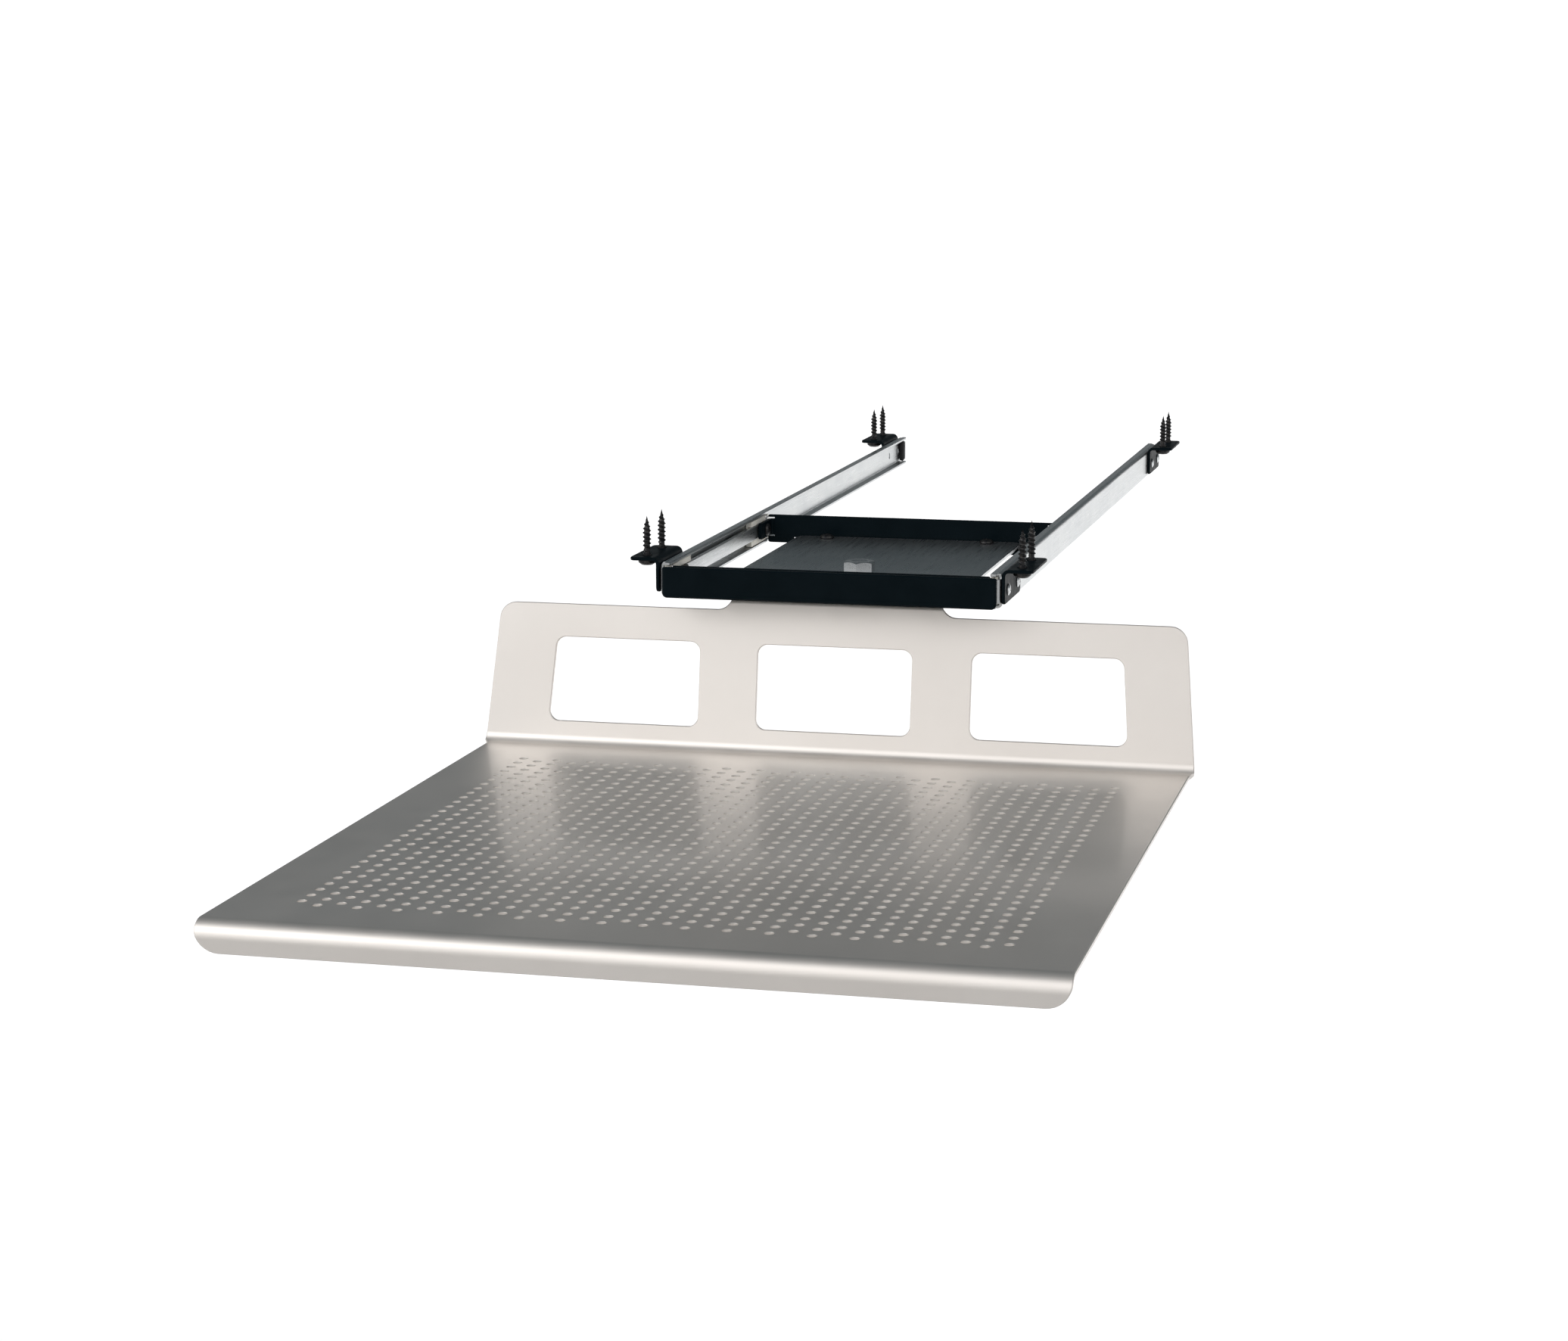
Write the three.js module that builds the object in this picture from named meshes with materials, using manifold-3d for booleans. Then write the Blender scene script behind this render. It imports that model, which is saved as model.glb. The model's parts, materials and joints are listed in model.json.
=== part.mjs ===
// Under desk drawer: a perforated laptop tray on a swivel, hung from a carriage that runs
// in two tracks screwed to the underside of a desk top.
// Millimetres, +X to the right, +Y back under the desk, +Z up. The origin is on the desk's
// underside, midway between the tracks, at their front ends. The tray is pulled out.
import * as THREE from 'three';
import { mergeVertices } from 'three/addons/utils/BufferGeometryUtils.js';
import Module from 'manifold-3d';

// ---------- driving dimensions ----------
const GAP = 0.3;                  // between pieces that touch or turn on each other

// tray
const SHEET = 2;                  // tray sheet thickness
const TRAY_HALF_W = 160.5;        // half width of the shelf
const SHELF_TOP_Z = -88;          // upper face of the shelf
const CREASE_Y = 6;               // where shelf and back panel planes meet
const TRAY_FRONT_Y = -326;        // foremost line of the front lip
const LIP_RADIUS = 6.5;           // outer radius of the front bend
const LIP_DROP = 12.2;            // shelf top to the lip's lower edge
const LIP_PAST_VERTICAL = 5;      // degrees
const LIP_CORNER = 9.5;           // rounding of the lip's lower corners
const CREASE_RADIUS = 5;          // bend radius on the shelf's upper side
const PANEL_LEAN = 8.5;           // degrees the back panel leans back
const SHOULDER_Z = -24.6;         // top edge of the back panel
const PANEL_BASE_HALF_W = 162.4;  // half width of the back panel at the crease
const SHOULDER_HALF_W = 156.8;    // half width of the panel at its top edge
const PANEL_CORNER = 8;           // rounding of the panel's top corners
const NECK_HALF_W = 48;           // half width of the middle strip that becomes the flange
const NECK_FILLET = 6.7;
const WINDOW_LOW = 10.6;          // height of the windows' lower edge over the shelf
const WINDOW_HIGH = 48.4;         // height of their upper edge
const WINDOW_CORNER = 4.5;
const MID_WINDOW_HALF_W = 35.3;
const SIDE_WINDOW_IN = 62.3;      // inner side of each outer window
const SIDE_WINDOW_OUT_LOW = 132.6;
const SIDE_WINDOW_OUT_HIGH = 129.6;

// swivel
const PIVOT_Y = 64;
const FLANGE_TOP_Z = -18.2;
const FLANGE_RADIUS = 54;
const FLANGE_BEND = 4.5;          // outer radius of the bend into the flange
const GLIDE_RADIUS = 40;
const GLIDE_T = 2.2;
const PRESSURE_RADIUS = 38;
const WASHER_RADIUS = 9;
const WASHER_T = 1.4;
const BOLT_R = 4;
const BOLT_HOLE_R = BOLT_R + GAP;
const BOLT_HEAD_H = 5.3;
const BOLT_PAST_NUT = 1.5;
const HEX_AF = 13;                // across flats of bolt head and nut
const NUT_H = 7.5;
const NUT_HEX_H = 6;              // the rest of the nut is its round collar
const NUT_COLLAR_R = 5.6;
const NUT_BORE_R = BOLT_R + 0.15;

// fixed cross bar, welded to the tracks' front stops
const CROSS_BAR_HALF_W = 75.5;
const CROSS_BAR_FRONT_Y = -3;

// carriage
const BAR_HALF_W = 72;
const BAR_T = 1.8;
const BAR_FRONT_Y = 2;            // front face of the front bar
const BAR_REAR_Y = 180;           // rear face of the rear bar
const BAR_TOP_Z = -3.6;
const BAR_BOTTOM_Z = -17.4;
const BAR_FOOT = 19;              // depth of the bars' lower flanges
const BAR_FOOT_HALF_W = 58;
const TAB_LENGTH = 22;            // end tabs that hold the runners
const TAB_TOP_Z = -5.6;
const TAB_BOTTOM_Z = -13.6;
const PLATE_T = 2;
const PLATE_HALF_W = 56;
const PLATE_CORNER = 5;
const PLATE_FROM_BAR = 2.4;       // gap between the plate's ends and the bars' outer faces
const PLATE_SCREW_X = 40;
const PLATE_SCREW_FROM_BAR = 10;  // from the bars' outer faces
const PLATE_SCREW_R = 2;
const PLATE_SCREW_HOLE_R = 2.2;
const PLATE_SCREW_HEAD_R = 3.6;

// tracks
const TRACK_LENGTH = 520;
const TRACK_T = 1.4;
const TRACK_TOP_Z = -1.9;
const TRACK_BOTTOM_Z = -17.4;
const TRACK_LIP_X = BAR_HALF_W + 0.4;
const TRACK_STOP_X = TRACK_LIP_X + 0.4;
const TRACK_WEB_IN = 75.9;
const TRACK_WEB_OUT = TRACK_WEB_IN + TRACK_T;
const BUMPER_T = 4;
const BUMPER_TOP_Z = -3.7;
const BUMPER_BOTTOM_Z = -15.6;

// what runs in the tracks
const RUNNER_IN = BAR_HALF_W + GAP;
const RUNNER_OUT = RUNNER_IN + 2;
const RUNNER_FRONT_Y = BAR_FRONT_Y;
const RUNNER_REAR_Y = BAR_REAR_Y + 2;
const RUNNER_TOP_Z = -6.4;
const RUNNER_BOTTOM_Z = -12.9;
const RUNNER_SCREW_Z = (RUNNER_TOP_Z + RUNNER_BOTTOM_Z) / 2;
const RUNNER_SCREW_FROM_BAR = 12;
const RUNNER_SCREW_R = 1.6;
const RUNNER_SCREW_HOLE_R = 1.75;
const RUNNER_SCREW_HEAD_R = 3;
const BALL_R = 1.3;
const BALL_X = 73.5;
const BALL_ROOM = 0.25;           // clearance round each ball
const BALL_FROM_CARRIER_END = 4;
const CARRIER_LENGTH = 34;
const CARRIER_IN = BAR_HALF_W + 0.7;
const CARRIER_BACK_IN = RUNNER_OUT + GAP;
const CARRIER_BACK_OUT = CARRIER_BACK_IN + 0.9;
const CARRIER_FROM_RUNNER_END = 0.2;

// brackets and fasteners
const BRACKET_LENGTH = 40;
const BRACKET_T = 1.5;
const BRACKET_IN = TRACK_WEB_OUT + 0.2;
const BRACKET_OUT = 91.3;
const BRACKET_BOTTOM_Z = -15.5;
const BRACKET_BEND = 3;           // outer radius of its bend
const BRACKET_STARTS = { front: 0, rear: TRACK_LENGTH - BRACKET_LENGTH };
const SCREW_X = 85.2;
const SCREW_INSET = 8;            // screws and rivets, from the ends of the bracket
const SCREW_HEAD_R = 4;
const SCREW_SHANK_R = 1.9;
const SCREW_HOLE_R = SCREW_SHANK_R + GAP;
const SCREW_TIP_Z = 18;           // how far the wood screws reach into the desk top
const SCREW_SEAT_Z = -BRACKET_T - 0.2;
const RIVET_Z = -9.6;
const RIVET_R = 1.5;
const RIVET_HOLE_R = 1.7;
const RIVET_HEAD_R = 2.7;

const CUT = 1;                    // how far a cutting tool passes through what it cuts

// ---------- materials ----------
const look = {
  tray: { color: 0xe4dfdb, roughness: 0.34, metalness: 0.55 },
  black: { color: 0x14201f, roughness: 0.45, metalness: 0.3 },
  zinc: { color: 0xb9bdbf, roughness: 0.35, metalness: 0.9 },
  steel: { color: 0x8f9294, roughness: 0.25, metalness: 1.0 },
  nylon: { color: 0xe9e6da, roughness: 0.6, metalness: 0.0 },
  rubber: { color: 0x1b1b1c, roughness: 0.85, metalness: 0.0 },
  screw: { color: 0x1c1e20, roughness: 0.4, metalness: 0.7 },
};

// ---------- booleans ----------
const wasm = await Module();
wasm.setup();

function solid(geometry) {
  const bare = geometry.clone();
  bare.deleteAttribute('normal');
  bare.deleteAttribute('uv');
  const merged = mergeVertices(bare, 1e-4);
  const vertProperties = new Float32Array(merged.attributes.position.array);
  const triVerts = new Uint32Array(merged.index.array);
  return new wasm.Manifold(new wasm.Mesh({ numProp: 3, vertProperties, triVerts }));
}

function geometryOf(manifold) {
  const mesh = manifold.getMesh();
  const geometry = new THREE.BufferGeometry();
  geometry.setAttribute('position', new THREE.BufferAttribute(new Float32Array(mesh.vertProperties), 3));
  geometry.setIndex(new THREE.BufferAttribute(new Uint32Array(mesh.triVerts), 1));
  geometry.computeVertexNormals();
  return geometry;
}

const join = (...parts) => parts.reduce((a, b) => a.add(b));
const cut = (body, ...tools) => tools.reduce((a, b) => a.subtract(b), body);

// ---------- basic shapes ----------
function box(x0, x1, y0, y1, z0, z1) {
  const geometry = new THREE.BoxGeometry(x1 - x0, y1 - y0, z1 - z0);
  return geometry.translate((x0 + x1) / 2, (y0 + y1) / 2, (z0 + z1) / 2);
}

// A disc or rod about an upright axis through (x, y).
function upright(x, y, z0, z1, radius, sides = 24) {
  const geometry = new THREE.CylinderGeometry(radius, radius, z1 - z0, sides);
  return geometry.rotateX(Math.PI / 2).translate(x, y, (z0 + z1) / 2);
}

// A rod along X.
function crosswise(x0, x1, y, z, radius, sides = 12) {
  const geometry = new THREE.CylinderGeometry(radius, radius, x1 - x0, sides);
  return geometry.rotateZ(Math.PI / 2).translate((x0 + x1) / 2, y, z);
}

// A solid of revolution about an upright axis, from [radius, height] pairs that start and end on it.
function turned(profile, sides = 20) {
  const rising = profile[0][1] < profile[profile.length - 1][1] ? profile : [...profile].reverse();
  const points = rising.map(([r, z]) => new THREE.Vector2(r, z));
  return new THREE.LatheGeometry(points, sides).rotateX(Math.PI / 2);
}

// A closed outline in the XZ plane, run along Y.
function alongY(outline, y0, y1) {
  const geometry = new THREE.ExtrudeGeometry(outline, { depth: y1 - y0, bevelEnabled: false });
  return geometry.rotateX(Math.PI / 2).translate(0, y1, 0);
}

// A closed outline in the YZ plane, run along X.
function alongX(outline, x0, x1) {
  const geometry = new THREE.ExtrudeGeometry(outline, { depth: x1 - x0, bevelEnabled: false });
  geometry.applyMatrix4(new THREE.Matrix4().set(0, 0, 1, x0, 1, 0, 0, 0, 0, 1, 0, 0, 0, 0, 0, 1));
  return geometry;
}

function polygon(points) {
  return new THREE.Shape(points.map(([a, b]) => new THREE.Vector2(a, b)));
}

// A polygon with rounded corners: [a, b, radius] for each corner.
function rounded(corners, steps = 5) {
  const points = [];
  corners.forEach(([a, b, radius], i) => {
    const here = new THREE.Vector2(a, b);
    const [pa, pb] = corners[(i + corners.length - 1) % corners.length];
    const [na, nb] = corners[(i + 1) % corners.length];
    const before = new THREE.Vector2(pa, pb).sub(here).normalize();
    const after = new THREE.Vector2(na, nb).sub(here).normalize();
    if (!radius) {
      points.push([a, b]);
      return;
    }
    const half = Math.acos(THREE.MathUtils.clamp(before.dot(after), -1, 1)) / 2;
    const centre = before.clone().add(after).normalize().multiplyScalar(radius / Math.sin(half)).add(here);
    const start = here.clone().addScaledVector(before, radius / Math.tan(half)).sub(centre);
    const end = here.clone().addScaledVector(after, radius / Math.tan(half)).sub(centre);
    const turn = Math.atan2(start.x * end.y - start.y * end.x, start.dot(end));
    for (let k = 0; k <= steps; k += 1) {
      const spoke = start.clone().rotateAround(new THREE.Vector2(), (turn * k) / steps).add(centre);
      points.push([spoke.x, spoke.y]);
    }
  });
  return polygon(points);
}

// The section of a bent sheet: its outer line as straight runs joined by arcs, and the same
// line moved through the sheet's thickness to the right of the direction of travel.
function bentSheet(start, runs, thickness, arcSteps = 5) {
  const outer = [];
  const inner = [];
  let [y, z] = start;
  let heading = 0;
  const mark = () => {
    outer.push([y, z]);
    inner.push([y + thickness * Math.sin(heading), z - thickness * Math.cos(heading)]);
  };
  runs.forEach(({ face, go, turn, radius }) => {
    if (face !== undefined) heading = THREE.MathUtils.degToRad(face);
    if (go !== undefined) {
      mark();
      y += go * Math.cos(heading);
      z += go * Math.sin(heading);
      mark();
    }
    if (turn !== undefined) {
      const step = THREE.MathUtils.degToRad(turn) / arcSteps;
      for (let k = 0; k < arcSteps; k += 1) {
        const chord = 2 * radius * Math.sin(Math.abs(step) / 2);
        y += chord * Math.cos(heading + step / 2);
        z += chord * Math.sin(heading + step / 2);
        heading += step;
        mark();
      }
    }
  });
  const line = [...outer, ...inner.reverse()];
  return polygon(line.filter(([a, b], i) => {
    const [c, d] = line[(i + 1) % line.length];
    return Math.hypot(a - c, b - d) > 1e-3;
  }));
}

const mirrored = (manifold) => manifold.mirror([1, 0, 0]);
const SIDES = [['right', 1], ['left', -1]];

// ---------- the group ----------
const drawer = new THREE.Group();
drawer.name = 'under_desk_drawer';

function place(name, geometry, kind) {
  const mesh = new THREE.Mesh(geometry, new THREE.MeshStandardMaterial(look[kind]));
  mesh.name = name;
  drawer.add(mesh);
  return mesh;
}

// One piece on the right side and its mirror image on the left.
function placePair(name, manifold, kind) {
  place(`${name}_right`, geometryOf(manifold), kind);
  place(`${name}_left`, geometryOf(mirrored(manifold)), kind);
}

// ---------- tray ----------
function trayGeometry() {
  const lean = THREE.MathUtils.degToRad(PANEL_LEAN);
  const lipTurn = 90 + LIP_PAST_VERTICAL;
  const lipAngle = THREE.MathUtils.degToRad(lipTurn);
  const lipStraight = (LIP_DROP - LIP_RADIUS * (1 - Math.cos(lipAngle))) / Math.sin(lipAngle);
  const shelfStartY = TRAY_FRONT_Y + LIP_RADIUS;
  const lipBottom = [
    shelfStartY - LIP_RADIUS * Math.sin(lipAngle) - lipStraight * Math.cos(lipAngle),
    SHELF_TOP_Z - LIP_DROP,
  ];
  const creaseTangent = CREASE_RADIUS * Math.tan((Math.PI / 2 - lean) / 2);
  const panelTop = FLANGE_TOP_Z - FLANGE_BEND * (1 - Math.sin(lean));
  const panelRise = (panelTop - SHELF_TOP_Z) / Math.cos(lean) - creaseTangent;
  const flangeStartY = CREASE_Y + (panelTop - SHELF_TOP_Z) * Math.tan(lean) + FLANGE_BEND * Math.cos(lean);
  const section = bentSheet(lipBottom, [
    { face: lipTurn, go: lipStraight },
    { turn: -lipTurn, radius: LIP_RADIUS },
    { go: CREASE_Y - creaseTangent - shelfStartY },
    { turn: 90 - PANEL_LEAN, radius: CREASE_RADIUS },
    { go: panelRise },
    { turn: PANEL_LEAN - 90, radius: FLANGE_BEND },
    { go: PIVOT_Y + FLANGE_RADIUS + CUT - flangeStartY },
  ], SHEET);
  const sheet = solid(alongX(section, -PANEL_BASE_HALF_W - CUT, PANEL_BASE_HALF_W + CUT));

  const lowEdge = SHELF_TOP_Z - LIP_DROP;
  const widest = SHELF_TOP_Z + CUT;
  const front = rounded([
    [-TRAY_HALF_W, lowEdge, LIP_CORNER],
    [TRAY_HALF_W, lowEdge, LIP_CORNER],
    [PANEL_BASE_HALF_W, widest, 0],
    [SHOULDER_HALF_W, SHOULDER_Z, PANEL_CORNER],
    [NECK_HALF_W, SHOULDER_Z, NECK_FILLET],
    [NECK_HALF_W, FLANGE_TOP_Z + CUT, 0],
    [-NECK_HALF_W, FLANGE_TOP_Z + CUT, 0],
    [-NECK_HALF_W, SHOULDER_Z, NECK_FILLET],
    [-SHOULDER_HALF_W, SHOULDER_Z, PANEL_CORNER],
    [-PANEL_BASE_HALF_W, widest, 0],
  ]);
  const panelSide = alongY(front, TRAY_FRONT_Y - CUT, flangeStartY + 2 * CUT);
  const low = FLANGE_TOP_Z - SHEET - CUT / 2;
  const high = FLANGE_TOP_Z + CUT;
  const flangeFront = box(-FLANGE_RADIUS, FLANGE_RADIUS, flangeStartY + CUT, PIVOT_Y, low, high);
  const flangeRound = upright(0, PIVOT_Y, low, high, FLANGE_RADIUS, 40);
  const outline = join(solid(panelSide), solid(flangeFront), solid(flangeRound));

  const sill = SHELF_TOP_Z + WINDOW_LOW;
  const head = SHELF_TOP_Z + WINDOW_HIGH;
  const middle = rounded([
    [-MID_WINDOW_HALF_W, sill, WINDOW_CORNER],
    [MID_WINDOW_HALF_W, sill, WINDOW_CORNER],
    [MID_WINDOW_HALF_W, head, WINDOW_CORNER],
    [-MID_WINDOW_HALF_W, head, WINDOW_CORNER],
  ], 4);
  const side = rounded([
    [SIDE_WINDOW_IN, sill, WINDOW_CORNER],
    [SIDE_WINDOW_OUT_LOW, sill, WINDOW_CORNER],
    [SIDE_WINDOW_OUT_HIGH, head, WINDOW_CORNER],
    [SIDE_WINDOW_IN, head, WINDOW_CORNER],
  ], 4);
  const middleWindow = solid(alongY(middle, -CUT, flangeStartY));
  const sideWindow = solid(alongY(side, -CUT, flangeStartY));
  const pivotHole = solid(upright(0, PIVOT_Y, low, high, BOLT_HOLE_R));
  const blank = sheet.intersect(outline);
  return geometryOf(cut(blank, middleWindow, sideWindow, mirrored(sideWindow), pivotHole));
}
place('tray', trayGeometry(), 'tray');

// ---------- swivel stack, from the bolt head down ----------
const plateTop = BAR_BOTTOM_Z + BAR_T + 0.2 + PLATE_T;
const plateBottom = plateTop - PLATE_T;
const upperGlideTop = plateBottom - GAP;
const upperGlideT = upperGlideTop - FLANGE_TOP_Z - GAP;
const lowerGlideTop = FLANGE_TOP_Z - SHEET - GAP;
const pressureTop = lowerGlideTop - GLIDE_T - GAP;
const washerTop = pressureTop - PLATE_T - GAP;
const nutTop = washerTop - WASHER_T - GAP;
const nutBottom = nutTop - NUT_H;
const boltHeadBottom = plateTop + GAP;

// A disc with a hole for the pivot bolt.
function ring(zTop, thickness, radius, sides) {
  const zBottom = zTop - thickness;
  const disc = solid(upright(0, PIVOT_Y, zBottom, zTop, radius, sides));
  const hole = solid(upright(0, PIVOT_Y, zBottom - CUT, zTop + CUT, BOLT_HOLE_R));
  return geometryOf(cut(disc, hole));
}
place('upper_glide_disc', ring(upperGlideTop, upperGlideT, GLIDE_RADIUS, 40), 'nylon');
place('lower_glide_disc', ring(lowerGlideTop, GLIDE_T, GLIDE_RADIUS, 40), 'nylon');
place('pressure_plate', ring(pressureTop, PLATE_T, PRESSURE_RADIUS, 40), 'zinc');
place('spring_washer', ring(washerTop, WASHER_T, WASHER_RADIUS, 24), 'steel');

const hexagon = (z0, z1) => upright(0, PIVOT_Y, z0, z1, HEX_AF / Math.sqrt(3), 6);

function nutSolid() {
  const hex = solid(hexagon(nutTop - NUT_HEX_H, nutTop));
  const collar = solid(upright(0, PIVOT_Y, nutBottom, nutTop - NUT_HEX_H + CUT, NUT_COLLAR_R));
  const bore = solid(upright(0, PIVOT_Y, nutBottom - CUT, nutTop + CUT, NUT_BORE_R));
  return cut(join(hex, collar), bore);
}
place('lock_nut', geometryOf(nutSolid()), 'zinc');

const boltHead = solid(hexagon(boltHeadBottom, boltHeadBottom + BOLT_HEAD_H));
const boltShank = solid(upright(0, PIVOT_Y, nutBottom - BOLT_PAST_NUT, boltHeadBottom + CUT, BOLT_R));
place('pivot_bolt', geometryOf(join(boltHead, boltShank)), 'zinc');

// ---------- carriage ----------
const plateScrews = {
  front_left: [-PLATE_SCREW_X, BAR_FRONT_Y + PLATE_SCREW_FROM_BAR],
  front_right: [PLATE_SCREW_X, BAR_FRONT_Y + PLATE_SCREW_FROM_BAR],
  rear_left: [-PLATE_SCREW_X, BAR_REAR_Y - PLATE_SCREW_FROM_BAR],
  rear_right: [PLATE_SCREW_X, BAR_REAR_Y - PLATE_SCREW_FROM_BAR],
};
const runnerScrewYs = {
  front: BAR_FRONT_Y + RUNNER_SCREW_FROM_BAR,
  rear: BAR_REAR_Y - RUNNER_SCREW_FROM_BAR,
};

// Cuts a hole for each plate screw through a level sheet.
function cutPlateScrewHoles(sheet, z0, z1) {
  const holes = Object.values(plateScrews).map(([x, y]) => (
    solid(upright(x, y, z0 - CUT, z1 + CUT, PLATE_SCREW_HOLE_R, 16))
  ));
  return cut(sheet, ...holes);
}

// A bar with its foot turned towards the other bar and a tab at each end for the runners.
function barSolid(face, inward) {
  const lengthwise = (x0, x1, depth, z0, z1) => solid(box(
    x0, x1, Math.min(face, face + inward * depth), Math.max(face, face + inward * depth), z0, z1,
  ));
  const web = lengthwise(-BAR_HALF_W, BAR_HALF_W, BAR_T, BAR_BOTTOM_Z, BAR_TOP_Z);
  const foot = lengthwise(-BAR_FOOT_HALF_W, BAR_FOOT_HALF_W, BAR_FOOT, BAR_BOTTOM_Z, BAR_BOTTOM_Z + BAR_T);
  const tab = lengthwise(BAR_HALF_W - BAR_T, BAR_HALF_W, TAB_LENGTH, TAB_BOTTOM_Z, TAB_TOP_Z);
  const screwY = face + inward * RUNNER_SCREW_FROM_BAR;
  const reach = BAR_HALF_W + CUT;
  const screwHoles = solid(crosswise(-reach, reach, screwY, RUNNER_SCREW_Z, RUNNER_SCREW_HOLE_R));
  const bar = cut(join(web, foot, tab, mirrored(tab)), screwHoles);
  return cutPlateScrewHoles(bar, BAR_BOTTOM_Z, BAR_BOTTOM_Z + BAR_T);
}
place('carriage_front_bar', geometryOf(barSolid(BAR_FRONT_Y, 1)), 'black');
place('carriage_rear_bar', geometryOf(barSolid(BAR_REAR_Y, -1)), 'black');

function swivelPlateSolid() {
  const front = BAR_FRONT_Y + PLATE_FROM_BAR;
  const rear = BAR_REAR_Y - PLATE_FROM_BAR;
  const outline = rounded([
    [-PLATE_HALF_W, front, PLATE_CORNER],
    [PLATE_HALF_W, front, PLATE_CORNER],
    [PLATE_HALF_W, rear, PLATE_CORNER],
    [-PLATE_HALF_W, rear, PLATE_CORNER],
  ], 4);
  const blank = new THREE.ExtrudeGeometry(outline, { depth: PLATE_T, bevelEnabled: false });
  const pivotHole = solid(upright(0, PIVOT_Y, plateBottom - CUT, plateTop + CUT, BOLT_HOLE_R));
  const plate = cut(solid(blank.translate(0, 0, plateBottom)), pivotHole);
  return cutPlateScrewHoles(plate, plateBottom, plateTop);
}
place('swivel_plate', geometryOf(swivelPlateSolid()), 'zinc');

const plateScrew = () => turned([
  [0, plateTop + 2.4],
  [2.4, plateTop + 2.1],
  [PLATE_SCREW_HEAD_R, plateTop + 1.2],
  [PLATE_SCREW_HEAD_R, plateTop + 0.2],
  [PLATE_SCREW_R, plateTop + 0.2],
  [PLATE_SCREW_R, BAR_BOTTOM_Z + 0.1],
  [0, BAR_BOTTOM_Z + 0.1],
], 14);
Object.entries(plateScrews).forEach(([name, [x, y]]) => {
  place(`plate_screw_${name}`, plateScrew(), 'screw').position.set(x, y, 0);
});

// ---------- runners, ball carriers and balls ----------
function runnerSolid() {
  const bar = box(RUNNER_IN, RUNNER_OUT, RUNNER_FRONT_Y, RUNNER_REAR_Y, RUNNER_BOTTOM_Z, RUNNER_TOP_Z);
  const holes = Object.values(runnerScrewYs).map((y) => (
    solid(crosswise(RUNNER_IN - CUT, RUNNER_OUT + CUT, y, RUNNER_SCREW_Z, RUNNER_SCREW_HOLE_R))
  ));
  return cut(solid(bar), ...holes);
}
placePair('runner', runnerSolid(), 'zinc');

const ballZ = {
  upper: TRACK_TOP_Z - TRACK_T - BALL_ROOM - BALL_R,
  lower: TRACK_BOTTOM_Z + TRACK_T + BALL_ROOM + BALL_R,
};

// A strip of nylon behind the runner, with an arm over it and one under it.
function carrierSolid(y0, ballY) {
  const y1 = y0 + CARRIER_LENGTH;
  const top = TRACK_TOP_Z - TRACK_T - GAP;
  const bottom = TRACK_BOTTOM_Z + TRACK_T + GAP;
  const body = join(
    solid(box(CARRIER_BACK_IN, CARRIER_BACK_OUT, y0, y1, bottom, top)),
    solid(box(CARRIER_IN, CARRIER_BACK_OUT, y0, y1, RUNNER_TOP_Z + GAP, top)),
    solid(box(CARRIER_IN, CARRIER_BACK_OUT, y0, y1, bottom, RUNNER_BOTTOM_Z - GAP)),
  );
  const pockets = Object.values(ballZ).map((z) => {
    const room = BALL_R + BALL_ROOM;
    const round = upright(BALL_X, ballY, z - room, z + room, room, 14);
    const mouth = box(CARRIER_IN - CUT, BALL_X, ballY - room, ballY + room, z - room, z + room);
    return join(solid(round), solid(mouth));
  });
  return cut(body, ...pockets);
}

function placeCarriers(end, y0, ballY) {
  placePair(`ball_carrier_${end}`, carrierSolid(y0, ballY), 'nylon');
  Object.entries(ballZ).forEach(([level, z]) => {
    SIDES.forEach(([side, sign]) => {
      const ball = place(`ball_${end}_${level}_${side}`, new THREE.SphereGeometry(BALL_R, 12, 8), 'steel');
      ball.position.set(sign * BALL_X, ballY, z);
    });
  });
}
const frontCarrierY = RUNNER_FRONT_Y + CARRIER_FROM_RUNNER_END;
const rearCarrierEnd = RUNNER_REAR_Y - CARRIER_FROM_RUNNER_END;
placeCarriers('front', frontCarrierY, frontCarrierY + BALL_FROM_CARRIER_END);
placeCarriers('rear', rearCarrierEnd - CARRIER_LENGTH, rearCarrierEnd - BALL_FROM_CARRIER_END);

// A button-head screw from inside each end tab into the runner.
const runnerScrew = () => turned([
  [0, 0],
  [RUNNER_SCREW_R, 0],
  [RUNNER_SCREW_R, 4.1],
  [RUNNER_SCREW_HEAD_R, 4.1],
  [RUNNER_SCREW_HEAD_R, 5],
  [1.8, 5.8],
  [0, 6],
], 14);
Object.entries(runnerScrewYs).forEach(([end, y]) => {
  SIDES.forEach(([side, sign]) => {
    const screw = place(`runner_screw_${end}_${side}`, runnerScrew(), 'screw');
    screw.rotation.y = -sign * Math.PI / 2;
    screw.position.set(sign * (RUNNER_OUT - 0.2), y, RUNNER_SCREW_Z);
  });
});

// ---------- tracks ----------
const trackEnd = TRACK_LENGTH - TRACK_T;

function bracketScrewYs(start) {
  return [start + SCREW_INSET, start + BRACKET_LENGTH - SCREW_INSET];
}

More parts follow.
